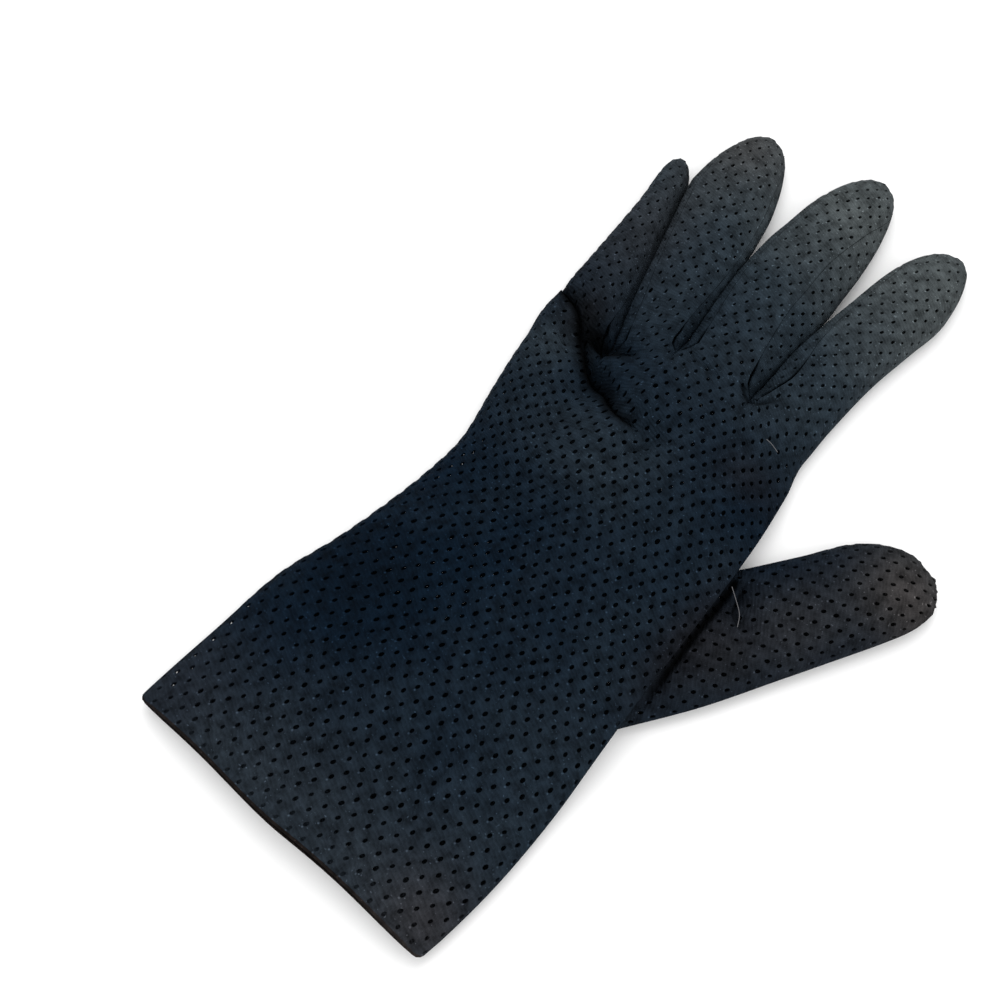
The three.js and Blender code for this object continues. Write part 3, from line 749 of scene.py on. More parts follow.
class Panel:
    """A panel of cloth as a table of points at equal shares of each row's arc, with the lie of its knit.

    Columns of eyelets either keep an equal share of the row, or run parallel to an axis at the knit's own
    pitch, by the row's hold from 0 to 1. Every place is held between the panel's low and high limits.
    """

    def __init__(
        self,
        points: np.ndarray,
        c: np.ndarray,
        limits: tuple[np.ndarray, np.ndarray],
        axis: np.ndarray,
        hold: np.ndarray,
        columns: float,
        offset: float,
    ) -> None:
        """Measures the rows' arcs and lays the points out at equal shares of them.

        Args:
            points: rows by columns by 3.
            c: the columns' places, rising from -1 to 1.
            limits: the low and high limit of each row, as places c.
            axis: the place c of each row's axis.
            hold: 0 where columns share the row, 1 where they run parallel to the axis.
            columns: columns of eyelets over the whole row.
            offset: the number of the first column, which sets the stagger.
        """
        steps = np.linalg.norm(np.diff(points, axis=1), axis=2)
        arc = np.concatenate([np.zeros((len(points), 1)), np.cumsum(steps, axis=1)], axis=1)
        places = np.broadcast_to(c, arc.shape)
        self.total = np.maximum(arc[:, -1], 1e-6)
        self.low = rowwise(limits[0][:, None], places, arc)[:, 0]
        self.high = rowwise(limits[1][:, None], places, arc)[:, 0]
        self.axis = rowwise(axis[:, None], places, arc)[:, 0]
        self.hold = hold
        self.columns = columns
        self.offset = offset
        shares = np.linspace(0, 1, ACROSS)
        even = self.total[:, None] * shares
        self.points = np.stack([rowwise(even, arc, points[..., i]) for i in range(3)], -1)
        down = np.gradient(self.points, axis=0)
        right = np.gradient(self.points, axis=1)
        normal = np.cross(right, down)
        self.normals = normal / np.maximum(np.linalg.norm(normal, axis=2, keepdims=True), 1e-9)
        middle = self.points[:, ACROSS // 2]
        self.row_pitch = np.maximum(np.linalg.norm(np.gradient(middle, axis=0), axis=1) * PER_ROW, 0.5)

    @property
    def rows(self) -> float:
        """Rows of eyelets along the panel."""
        return (len(self.points) - 1) / PER_ROW

    def along(self, values: np.ndarray, row: np.ndarray) -> np.ndarray:
        """A value of the table's rows at a place in eyelet rows."""
        return np.interp(row * PER_ROW, np.arange(len(values)), values)

    def arc(self, column: np.ndarray, row: np.ndarray) -> np.ndarray:
        """The free arc length of a place in the lattice, before the limits hold it."""
        total = self.along(self.total, row)
        even = column / max(self.columns, 1) * total
        parallel = self.along(self.axis, row) + (column - self.columns / 2) * COLUMN_PITCH
        return lerp(even, parallel, self.along(self.hold, row))

    def held(self, arc: np.ndarray, row: np.ndarray) -> np.ndarray:
        """An arc length held between the limits of its row."""
        return np.clip(arc, self.along(self.low, row), self.along(self.high, row))

    def place(self, table: np.ndarray, arc: np.ndarray, row: np.ndarray) -> np.ndarray:
        """Reads a table of vectors at arc lengths and rows, linear in both."""
        i = np.clip(row * PER_ROW, 0, len(table) - 1.001)
        j = np.clip(arc / self.along(self.total, row) * (ACROSS - 1), 0, ACROSS - 1.001)
        i0, j0 = i.astype(int), j.astype(int)
        fi, fj = (i - i0)[..., None], (j - j0)[..., None]
        near = lerp(table[i0, j0], table[i0, j0 + 1], fj)
        far = lerp(table[i0 + 1, j0], table[i0 + 1, j0 + 1], fj)
        return lerp(near, far, fi)


@dataclass(frozen=True)
class Eyelets:
    """The knit's eyelets: their size and tilt, and how far the cloth sinks towards each rim.

    closing is how much smaller they are on a finger, and pressed their size on the side the glove lies on,
    which has bare rows without eyelets at the mouth.
    """

    width: float = 1.05
    length: float = 1.5
    tilt: float = 16.0
    sink: float = 0.16
    margin: float = 0.22
    closing: float = 0.24
    pressed: float = 0.45
    bare: float = 2.0
    seed: int = 7

    # Spread of an eyelet's size, place and tilt, in millimetres and degrees, and the least size of a cell

    SPREAD = (0.07, 0.08, 0.07, 6.0)
    LEAST_CELL = (0.06, 0.03)

    # Corners of a cell and the turns of its rim, in order, and the faces between them

    CORNERS = np.array([(-0.5, -0.5), (0, -0.5), (0.5, -0.5), (0.5, 0.5), (0, 0.5), (-0.5, 0.5)])
    RIM = 8
    QUADS = np.array([(0, 1, 7, 6), (1, 2, 8, 7), (3, 4, 11, 10), (4, 5, 12, 11)])
    TRIANGLES = np.array([(2, 9, 8), (2, 3, 9), (3, 10, 9), (5, 13, 12), (5, 0, 13), (0, 6, 13)])
    PLAIN = np.array([(0, 1, 4, 5), (1, 2, 3, 4)])

    def knit(self, panel: Panel, side: Side) -> tuple[np.ndarray, list[np.ndarray], np.ndarray]:
        """Covers a panel with brick cells, one eyelet in each.

        A cell's six corners lie half a pitch from its middle, staggered from row to row, and are held at the
        panel's limits, so the cloth ends on its seams. A cell whose rim would pass a limit has no eyelet.

        Args:
            panel: the cloth.
            side: whether it is seen from above or below.

        Returns:
            Points, faces as arrays of corners, and a place in the knit for each point.
        """
        rng = np.random.default_rng(self.seed)
        spare = 4 if panel.hold.max() > 0 else 1
        first = int(np.floor(panel.offset)) - spare
        count = int(np.ceil(panel.columns)) + 2 * spare + 1
        upwards = np.arange(int(np.ceil(panel.rows)))
        row, column = np.meshgrid(upwards, first + np.arange(count), indexing="ij")
        row, column = row.ravel(), column.ravel()
        centre = column + 0.25 + 0.5 * (row % 2) - panel.offset
        middle = row + 0.5
        cells = len(row)
        corner_column = centre[:, None] + self.CORNERS[:, 0]
        corner_row = np.clip(middle[:, None] + self.CORNERS[:, 1], 0, panel.rows)
        corner_arc = panel.held(panel.arc(corner_column, corner_row), corner_row)
        wide = np.ptp(corner_arc.reshape(cells, 6), axis=1) > self.LEAST_CELL[0]
        tall = np.ptp(corner_row, axis=1) > self.LEAST_CELL[1]
        jitter = rng.normal(size=(cells, 4)) * self.SPREAD
        size = 1 + jitter[:, :1] - self.closing * panel.along(panel.hold, middle)[:, None]
        size *= 1 if side is Side.BACK else self.pressed
        turn = np.radians(225 + np.arange(self.RIM) * 45)
        tilt = np.radians(self.tilt + jitter[:, 3:])
        if side is Side.PALM:
            tilt = -tilt
        flat_x = np.cos(turn) * self.width / 2 * size
        flat_y = np.sin(turn) * self.length / 2 * size
        rim_x = flat_x * np.cos(tilt) + flat_y * np.sin(tilt) + jitter[:, 1:2]
        rim_y = flat_y * np.cos(tilt) - flat_x * np.sin(tilt) + jitter[:, 2:3]
        pitch = panel.along(panel.row_pitch, middle)
        rim_row = np.clip(middle[:, None] + rim_y / pitch[:, None], 0, panel.rows)
        free = panel.arc(centre, middle)
        rim_arc = free[:, None] + rim_x
        drift = panel.arc(np.broadcast_to(centre[:, None], rim_row.shape), rim_row) - free[:, None]
        rim_arc = panel.held(rim_arc + drift, rim_row)
        reach = self.width / 2 + self.margin
        room = np.minimum(free - panel.along(panel.low, middle), panel.along(panel.high, middle) - free)
        end = panel.rows - middle - self.length / 2 / pitch
        open_cell = (room > reach) & (end > 0.1) & (pitch > LEAST_ROW) & wide & tall
        open_cell &= middle > self.bare * side.value
        plain_cell = wide & tall & ~open_cell
        arc = np.concatenate([corner_arc, rim_arc], axis=1)
        rows = np.concatenate([corner_row, rim_row], axis=1)
        points = panel.place(panel.points, arc, rows)
        normals = panel.place(panel.normals, arc, rows)
        rim = np.concatenate([np.zeros((cells, 6)), np.ones((cells, self.RIM))], axis=1)
        inward = -1 if side is Side.BACK else 1
        points += normals * (inward * self.sink * rim)[..., None]
        knit = np.stack([
            np.concatenate([corner_column, centre[:, None] + rim_x / COLUMN_PITCH], axis=1) + panel.offset,
            rows,
        ], -1)
        start = np.arange(cells)[:, None, None] * (6 + self.RIM)
        faces = [
            (start + self.QUADS)[open_cell].reshape(-1, 4),
            (start + self.TRIANGLES)[open_cell].reshape(-1, 3),
            (start + self.PLAIN)[plain_cell].reshape(-1, 4),
        ]
        if side is Side.PALM:
            faces = [face[:, ::-1] for face in faces]
        return points.reshape(-1, 3), faces, knit.reshape(-1, 2)


def new_mesh(name: str, points: np.ndarray, faces: list[np.ndarray]) -> bpy.types.Mesh:
    """A mesh from points in metres and faces as arrays of corners, with smooth shading."""
    mesh = bpy.data.meshes.new(name)
    corners = np.concatenate([face.ravel() for face in faces]).astype(np.int32)
    totals = np.concatenate([np.full(len(face), face.shape[1]) for face in faces])
    starts = np.concatenate([[0], np.cumsum(totals)[:-1]]).astype(np.int32)
    mesh.vertices.add(len(points))
    mesh.vertices.foreach_set("co", points.astype(np.float32).ravel())
    mesh.loops.add(len(corners))
    mesh.loops.foreach_set("vertex_index", corners)
    mesh.polygons.add(len(starts))
    mesh.polygons.foreach_set("loop_start", starts)
    mesh.update(calc_edges=True)
    mesh.polygons.foreach_set("use_smooth", np.ones(len(starts), bool))
    return mesh


def add_knit(mesh: bpy.types.Mesh, knit: np.ndarray) -> None:
    """Writes each point's place in the knit as the mesh's UV map."""
    corners = np.zeros(len(mesh.loops), np.int32)
    mesh.loops.foreach_get("vertex_index", corners)
    layer = mesh.uv_layers.new(name="knit")
    layer.data.foreach_set("uv", knit[corners].astype(np.float32).ravel())


def weld(mesh: bpy.types.Mesh, distance: float) -> None:
    """Joins points closer than a distance in metres, drops what that leaves without area and loose points."""
    work = bmesh.new()
    work.from_mesh(mesh)
    bmesh.ops.remove_doubles(work, verts=work.verts, dist=distance)
    bmesh.ops.dissolve_degenerate(work, dist=distance, edges=work.edges)
    loose = [vertex for vertex in work.verts if not vertex.link_faces]
    bmesh.ops.delete(work, geom=loose, context="VERTS")
    work.to_mesh(mesh)
    work.free()


def coordinates(mesh: bpy.types.Mesh) -> np.ndarray:
    """The points of a mesh, as rows of 3 in metres."""
    points = np.zeros(len(mesh.vertices) * 3)
    mesh.vertices.foreach_get("co", points)
    return points.reshape(-1, 3)


def press(mesh: bpy.types.Mesh, creases: tuple[Crease, ...]) -> None:
    """Presses creases into a sheet, after cutting its faces finer near them.

    Args:
        mesh: the sheet.
        creases: the creases, in millimetres of the plan.
    """
    for reach in CUT_REACHES:
        work = bmesh.new()
        work.from_mesh(mesh)
        points = from_frame(coordinates(mesh))
        near = np.zeros(len(points), bool)
        for crease in creases:
            s, strength = crease.measure(points, crease.PRESSED)[:2]
            near |= (np.abs(s) < reach) & (strength > 0)
        edges = [edge for edge in work.edges if near[edge.verts[0].index] and near[edge.verts[1].index]]
        bmesh.ops.subdivide_edges(work, edges=edges, cuts=1, use_grid_fill=True)
        work.to_mesh(mesh)
        work.free()
    points = from_frame(coordinates(mesh))
    for crease in creases:
        points = crease.press(points)
    mesh.vertices.foreach_set("co", to_frame(points).astype(np.float32).ravel())
    mesh.update()


def add_tones_and_shade(mesh: bpy.types.Mesh, creases: tuple[Crease, ...]) -> None:
    """Writes each point's tone as the colour attribute 'tone': paleness, brownness and painted shade.

    Paleness rises smoothly along the fingers, and each zone adds its tones by a bell curve about its middle.

    Args:
        mesh: the piece.
        creases: the creases pressed into it.
    """
    points = from_frame(coordinates(mesh))
    plan = points[:, :2]
    tone = np.zeros((len(points), 4))
    tone[:, 0] = PALE_LEAST + smooth(plan @ (PALE_LEAN, 1), *PALE_ALONG)
    for zone in ZONES:
        near = np.exp(-(((plan - zone[:2]) / zone[2:4]) ** 2).sum(axis=1))
        tone[:, :3] += near[:, None] * zone[4:]
    tone[:, 3] = 1
    # painted shade of the creases goes into the tone's third channel
    for crease in creases:
        tone[:, 2] = np.maximum(tone[:, 2], crease.painted_shade(points))
    layer = mesh.color_attributes.new(name="tone", type="FLOAT_COLOR", domain="POINT")
    layer.data.foreach_set("color", np.clip(tone, 0, 1).astype(np.float32).ravel())


def thicken(mesh: bpy.types.Mesh, thickness: float) -> bpy.types.Mesh:
    """Gives a sheet its thickness: a second face inside the first, and walls round every eyelet and edge.

    The inner point is the outer one less the thickness along its normal, held above the ground. A wall stands
    on each edge that only one face has.

    Args:
        mesh: the outer face.
        thickness: in metres.

    Returns:
        The new closed mesh, with the knit's UV map carried over.
    """
    count = len(mesh.vertices)
    points = coordinates(mesh)
    normals = np.zeros(count * 3)
    mesh.vertex_normals.foreach_get("vector", normals)
    normals = normals.reshape(-1, 3)
    corners = np.zeros(len(mesh.loops), np.int64)
    mesh.loops.foreach_get("vertex_index", corners)
    uv = np.zeros(len(mesh.loops) * 2)
    mesh.uv_layers["knit"].data.foreach_get("uv", uv)
    uv = uv.reshape(-1, 2)
    starts = np.zeros(len(mesh.polygons), np.int64)
    totals = np.zeros(len(mesh.polygons), np.int64)
    mesh.polygons.foreach_get("loop_start", starts)
    mesh.polygons.foreach_get("loop_total", totals)
    outer = []
    outer_uv = []
    following = np.arange(len(corners)) + 1
    following[starts + totals - 1] = starts
    for size in np.unique(totals):
        loops = starts[totals == size][:, None] + np.arange(size)
        outer.append(corners[loops])
        outer_uv.append(uv[loops])
    edges = np.stack([corners, corners[following]], 1)
    keys = np.sort(edges, axis=1) @ np.array([count, 1])
    unique, first, uses = np.unique(keys, return_index=True, return_counts=True)
    border = first[uses == 1]
    a, b = edges[border].T
    walls = np.stack([b, a, a + count, b + count], 1)
    wall_uv = np.stack([uv[following[border]], uv[border], uv[border], uv[following[border]]], 1)
    faces = outer + [face[:, ::-1] + count for face in outer] + [walls]
    maps = outer_uv + [part[:, ::-1] for part in outer_uv] + [wall_uv]
    both = np.concatenate([points, points - normals * thickness])
    both[:, 2] = np.maximum(both[:, 2], 0)
    solid = new_mesh(mesh.name, both, faces)
    layer = solid.uv_layers.new(name="knit")
    all_maps = np.concatenate([part.reshape(-1, 2) for part in maps])
    layer.data.foreach_set("uv", all_maps.astype(np.float32).ravel())
    solid.set_sharp_from_angle(angle=np.radians(SHARP_ANGLE))
    return solid


def tube(path: np.ndarray, radius: float, sides: int, closed: bool) -> tuple[np.ndarray, list[np.ndarray]]:
    """A round tube along a path: at each point a ring at right angles to the path's direction.

    Args:
        path: points, rows of 3.
        radius: the tube's radius, in the path's units.
        sides: sides of its section.
        closed: whether the path joins up.

    Returns:
        Points and faces. Open ends are closed by a cap.
    """
    if closed:
        way = np.roll(path, -1, axis=0) - np.roll(path, 1, axis=0)
    else:
        way = np.gradient(path, axis=0)
    way /= np.maximum(np.linalg.norm(way, axis=1, keepdims=True), 1e-9)
    across = np.cross(way, (0, 0, 1.0))
    across /= np.maximum(np.linalg.norm(across, axis=1, keepdims=True), 1e-9)
    up = np.cross(across, way)
    turn = np.linspace(0, 2 * np.pi, sides, endpoint=False)
    ring = across[:, None] * np.cos(turn)[None, :, None] + up[:, None] * np.sin(turn)[None, :, None]
    points = path[:, None] + ring * radius
    count = len(path)
    i, j = np.meshgrid(np.arange(count if closed else count - 1), np.arange(sides), indexing="ij")
    i, j = i.ravel(), j.ravel()
    near, far = i * sides, (i + 1) % count * sides
    step = (j + 1) % sides
    faces = [np.stack([near + j, far + j, far + step, near + step], 1)]
    if not closed:
        cap = np.arange(sides)
        faces += [cap[None, :], cap[None, ::-1] + (count - 1) * sides]
    return points.reshape(-1, 3), faces


def to_frame(points: np.ndarray) -> np.ndarray:
    """Points of the plan in millimetres, moved to the frame's origin and turned into metres."""
    return (points - (0, ORIGIN_SHARE * HAND_LENGTH, 0)) * MM


def from_frame(points: np.ndarray) -> np.ndarray:
    """Points in metres in the frame's place, as millimetres of the plan."""
    return points / MM + (0, ORIGIN_SHARE * HAND_LENGTH, 0)


class Nodes:
    """Short ways to add and link shader nodes in one tree."""

    def __init__(self, tree: bpy.types.NodeTree) -> None:
        """Keeps the tree."""
        self.tree = tree

    def add(self, kind: str, inputs: dict | None = None, **settings: object) -> bpy.types.Node:
        """Adds a node, sets its options and feeds its inputs with values or other nodes' sockets.

        Args:
            kind: the node's type.
            inputs: value or socket for each input, by name or number.
            settings: the node's own options.

        Returns:
            The node.
        """
        node = self.tree.nodes.new(kind)
        for name, value in settings.items():
            setattr(node, name, value)
        for name, value in (inputs or {}).items():
            if isinstance(value, bpy.types.NodeSocket):
                self.tree.links.new(value, node.inputs[name])
            else:
                node.inputs[name].default_value = value
        return node

    def group(self, tree: bpy.types.NodeTree, inputs: dict) -> bpy.types.Node:
        """Places a shared group and feeds its inputs."""
        return self.add("ShaderNodeGroup", inputs, node_tree=tree)

    def math(self, operation: str, *values: object) -> bpy.types.NodeSocket:
        """The result of a math node on values or sockets."""
        return self.add("ShaderNodeMath", dict(enumerate(values)), operation=operation).outputs[0]

    def noise(self, vector: bpy.types.NodeSocket, scale: float, detail: float) -> bpy.types.NodeSocket:
        """The value of a noise texture."""
        inputs = {"Vector": vector, "Scale": scale, "Detail": detail}
        return self.add("ShaderNodeTexNoise", inputs).outputs["Fac"]

    def spread(self, value: bpy.types.NodeSocket, low: float, high: float) -> bpy.types.NodeSocket:
        """A value stretched so that low gives 0 and high gives 1, and held between them."""
        inputs = {"Value": value, "From Min": low, "From Max": high}
        return self.add("ShaderNodeMapRange", inputs).outputs["Result"]

    def mix(self, share: object, first: object, second: object) -> bpy.types.NodeSocket:
        """A colour between two."""
        node = self.add("ShaderNodeMix", {0: share}, data_type="RGBA")
        for socket, value in ((6, first), (7, second)):
            if isinstance(value, bpy.types.NodeSocket):
                self.tree.links.new(value, node.inputs[socket])
            else:
                node.inputs[socket].default_value = value
        return node.outputs[2]


def new_group(name: str, inputs: dict[str, str], outputs: dict[str, str]) -> tuple:
    """An empty shader node group with named inputs and outputs.

    Args:
        name: the group's name.
        inputs: socket type by input name.
        outputs: socket type by output name.

    Returns:
        The group, its node helper, its input node and its output node.
    """
    group = bpy.data.node_groups.new(name, "ShaderNodeTree")
    for label, kind in inputs.items():
        group.interface.new_socket(name=label, in_out="INPUT", socket_type=kind)
    for label, kind in outputs.items():
        group.interface.new_socket(name=label, in_out="OUTPUT", socket_type=kind)
    nodes = Nodes(group)
    return group, nodes, nodes.add("NodeGroupInput"), nodes.add("NodeGroupOutput")


def cloth_tone_group() -> bpy.types.NodeTree:
    """Colour of worn dyed nylon: navy over slate to pale and browner in places, with painted shade in creases
    and dents and painted glints.

    Tone holds the paleness and brownness of the place, and its painted shade. Weave is the relief of the fine
    knit, which lightens the loops' crowns as a painted highlight, and Glints is painted highlight where
    fibres catch the light.
    """
    group, nodes, source, sink = new_group(
        "cloth_tone",
        {"Place": "NodeSocketVector", "Tone": "NodeSocketColor", "Navy": "NodeSocketColor",
         "Slate": "NodeSocketColor", "Pale": "NodeSocketColor", "Brown": "NodeSocketColor",
         "Weave": "NodeSocketFloat", "Glints": "NodeSocketFloat"},
        {"Color": "NodeSocketColor"},
    )
    place = source.outputs["Place"]
    tone = nodes.add("ShaderNodeSeparateColor", {0: source.outputs["Tone"]})
    drift = nodes.math("MULTIPLY", nodes.math("SUBTRACT", nodes.noise(place, 45, 3), 0.5), 0.3)
    paleness = nodes.math("ADD", tone.outputs[0], drift)
    base = nodes.mix(nodes.spread(paleness, 0, 0.5), source.outputs["Navy"], source.outputs["Slate"])
    base = nodes.mix(nodes.spread(paleness, 0.5, 1), base, source.outputs["Pale"])
    base = nodes.mix(tone.outputs[1], base, source.outputs["Brown"])
    mottle = nodes.spread(nodes.noise(place, 380, 3), 0.3, 0.7)
    light = nodes.math("ADD", nodes.math("MULTIPLY", mottle, 0.9), 0.4)
    # painted highlight: the knit's relief lightens the crowns of the loops
    light = nodes.math("ADD", light, nodes.math("MULTIPLY", source.outputs["Weave"], 0.3))
    # painted highlights: glints at the eyelets' rims and on stray fibres
    light = nodes.math("ADD", light, nodes.math("MULTIPLY", source.outputs["Glints"], 4.0))
    # painted shade: the tone's third channel darkens creases, dents and the pocket
    lit = nodes.math("SUBTRACT", 1, nodes.math("MULTIPLY", tone.outputs[2], 0.93))
    light = nodes.math("MULTIPLY", light, lit)
    colour = nodes.add("ShaderNodeVectorMath", {0: base, 3: light}, operation="SCALE").outputs[0]
    nodes.tree.links.new(colour, sink.inputs["Color"])
    return group


def eyelet_glint_group() -> bpy.types.NodeTree:
    """Painted highlights where loops catch the light: a spot at the wrist's end of some eyelets' rims, and
    stray fibres.

    The eyelet of a cell lies at column + 1/4 + (row odd)/2 and row + 1/2 of the knit. The spot's strength
    falls with the distance in millimetres from the rim's end, and noise over the glove picks the eyelets.
    """
    group, nodes, source, sink = new_group(
        "eyelet_glint",
        {"Knit": "NodeSocketVector", "Place": "NodeSocketVector"},
        {"Glints": "NodeSocketFloat"},
    )
    place = source.outputs["Place"]
    split = nodes.add("ShaderNodeSeparateXYZ", {0: source.outputs["Knit"]})
    odd = nodes.math("FLOORED_MODULO", nodes.math("FLOOR", split.outputs[1]), 2.0)
    column = nodes.math("SUBTRACT", split.outputs[0], nodes.math("MULTIPLY", odd, 0.5))
    across = nodes.math("SUBTRACT", nodes.math("FRACT", nodes.math("ADD", column, 0.25)), 0.46)
    along = nodes.math("SUBTRACT", nodes.math("FRACT", split.outputs[1]), 0.14)
    distance = nodes.math("SQRT", nodes.math(
        "ADD",
        nodes.math("POWER", nodes.math("MULTIPLY", across, 3.9), 2.0),
        nodes.math("POWER", nodes.math("MULTIPLY", along, 2.7), 2.0),
    ))
    spot = nodes.math("SUBTRACT", 1, nodes.spread(distance, 0.05, 0.34))
    chosen = nodes.spread(nodes.noise(place, 330, 1), 0.45, 0.75)
    fibres = nodes.spread(nodes.noise(place, 1500, 1), 0.70, 0.78)
    glints = nodes.math("ADD", nodes.math("MULTIPLY", spot, chosen), nodes.math("MULTIPLY", fibres, 0.6))
    nodes.tree.links.new(glints, sink.inputs["Glints"])
    return group


def knit_relief_group() -> bpy.types.NodeTree:
    """Height of the fine knit, from 0 to 1: courses of loops that slant a little, broken up by fibre noise.

    A course is the sine of gauge courses to a row of eyelets, carried along by the place across.
    """
    group, nodes, source, sink = new_group(
        "knit_relief",
        {"Knit": "NodeSocketVector", "Place": "NodeSocketVector", "Gauge": "NodeSocketFloat"},
        {"Height": "NodeSocketFloat"},
    )
    place = source.outputs["Place"]
    split = nodes.add("ShaderNodeSeparateXYZ", {0: source.outputs["Knit"]})
    waver = nodes.math("MULTIPLY", nodes.noise(place, 260, 2), 2.2)
    slant = nodes.math("MULTIPLY", split.outputs[0], 1.5)
    course = nodes.math("ADD", nodes.math("MULTIPLY", split.outputs[1], source.outputs["Gauge"]), slant)
    loop = nodes.math("SINE", nodes.math("MULTIPLY", nodes.math("ADD", course, waver), 2 * np.pi))
    wale = nodes.math("SINE", nodes.math("MULTIPLY", split.outputs[0], 2 * np.pi * 8))
    fibre = nodes.noise(place, 1900, 2)
    relief = nodes.math("ADD", nodes.math("MULTIPLY", loop, 0.3), nodes.math("MULTIPLY", wale, 0.12))
    height = nodes.math("ADD", relief, fibre)
    nodes.tree.links.new(height, sink.inputs["Height"])
    return group


@dataclass(frozen=True)
class KnitFinish:
    """Matt dyed nylon knit: its tones from deepest to palest, and the gauge and depth of its loops."""

    slot: str
    navy: tuple[float, float, float] = (0.0019, 0.0058, 0.0120)
    slate: tuple[float, float, float] = (0.0165, 0.0240, 0.0310)
    pale: tuple[float, float, float] = (0.0500, 0.0580, 0.0600)
    brown: tuple[float, float, float] = (0.0350, 0.0305, 0.0300)
    gauge: float = 2.5
    depth: float = 0.00030
    roughness: float = 0.85

    def material(self, groups: dict[str, bpy.types.NodeTree]) -> bpy.types.Material:
        """Builds the finish from the shared groups.

        Args:
            groups: the shader node groups by name.

        Returns:
            The material.
        """
        material = bpy.data.materials.new(self.slot + "_finish")
        material.use_nodes = True
        material.node_tree.nodes.clear()
        nodes = Nodes(material.node_tree)
        coords = nodes.add("ShaderNodeTexCoord")
        knit, place = coords.outputs["UV"], coords.outputs["Object"]
        relief = nodes.group(groups["knit_relief"], {"Knit": knit, "Place": place, "Gauge": self.gauge})
        glints = nodes.group(groups["eyelet_glint"], {"Knit": knit, "Place": place})
        tone = nodes.group(groups["cloth_tone"], {
            "Place": place,
            "Tone": nodes.add("ShaderNodeAttribute", attribute_name="tone").outputs["Color"],
            "Navy": (*self.navy, 1),
            "Slate": (*self.slate, 1),
            "Pale": (*self.pale, 1),
            "Brown": (*self.brown, 1),
            "Weave": relief.outputs["Height"],
            "Glints": glints.outputs["Glints"],
        })
        bump = nodes.add("ShaderNodeBump", {
            "Strength": 0.8, "Distance": self.depth, "Height": relief.outputs["Height"],
        })
        rough = nodes.add("ShaderNodeMapRange", {
            "Value": glints.outputs["Glints"], "To Min": self.roughness, "To Max": self.roughness - 0.3,
        })
        shader = nodes.add("ShaderNodeBsdfPrincipled", {
            "Base Color": tone.outputs["Color"],
            "Roughness": rough.outputs["Result"],
            "Normal": bump.outputs["Normal"],
            "Specular IOR Level": 0.03,
        })
        nodes.add("ShaderNodeOutputMaterial", {"Surface": shader.outputs["BSDF"]})
        return material


@dataclass(frozen=True)
class ThreadFinish:
    """Bare pale nylon thread."""

    name: str
    color: tuple[float, float, float] = (0.08, 0.08, 0.085)

    def material(self) -> bpy.types.Material:
        """Builds the finish."""
        material = bpy.data.materials.new(self.name)
        material.use_nodes = True
        shader = material.node_tree.nodes["Principled BSDF"]
        shader.inputs["Base Color"].default_value = (*self.color, 1)
        shader.inputs["Roughness"].default_value = 0.6
        return material


def make_piece(name: str, mesh: bpy.types.Mesh, material: bpy.types.Material) -> bpy.types.Object:
    """Adds a mesh to the scene as a piece that rides on the glove's body and takes a slot's finish."""
    piece = bpy.data.objects.new(name, mesh)
    mesh.name = name
    mesh.materials.append(material)
    bpy.context.scene.collection.objects.link(piece)
    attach(piece, "root")
    LOG.info("%s: %d points, %d faces", name, len(mesh.vertices), len(mesh.polygons))
    return piece


def sew(
    name: str,
    panels: list[tuple[Panel, Side]],
    eyelets: Eyelets,
    creases: tuple[Crease, ...] = (),
) -> bpy.types.Mesh:
    """Knits several panels, welds them where their edges meet and gives the cloth its creases and thickness.

    Args:
        name: the mesh's name.
        panels: each panel with its side.
        eyelets: the knit.
        creases: the creases pressed into the cloth.

    Returns:
        The closed mesh in metres.
    """
    points, faces, knit = [], [], []
    count = 0
    for panel, side in panels:
        new_points, new_faces, new_knit = eyelets.knit(panel, side)
        points.append(new_points)
        knit.append(new_knit)
        faces += [face + count for face in new_faces]
        count += len(new_points)
    mesh = new_mesh(name, to_frame(np.concatenate(points)), [face for face in faces if len(face)])
    add_knit(mesh, np.concatenate(knit))
    weld(mesh, WELD_DISTANCE)
    if creases:
        press(mesh, creases)
    solid = thicken(mesh, CLOTH * MM)
    bpy.data.meshes.remove(mesh)
    add_tones_and_shade(solid, creases)
    return solid


def make_cord(name: str, paths: list[np.ndarray], radius: float, closed: bool) -> bpy.types.Mesh:
    """A mesh of round cords along paths in millimetres of the plan, with its tones and an even knit.

    Args:
        name: the mesh's name.
        paths: rows of 3 points each.
        radius: the cords' radius in millimetres.
        closed: whether each path joins up.

    Returns:
        The mesh in metres.
    """
    points, faces = [], []
    count = 0
    for path in paths:
        new_points, new_faces = tube(path, radius, CORD_SIDES, closed)
        points.append(new_points)
        faces += [face + count for face in new_faces]
        count += len(new_points)
    mesh = new_mesh(name, to_frame(np.concatenate(points)), faces)
    add_knit(mesh, np.concatenate(points)[:, :2] / COLUMN_PITCH)
    add_tones_and_shade(mesh, ())
    return mesh


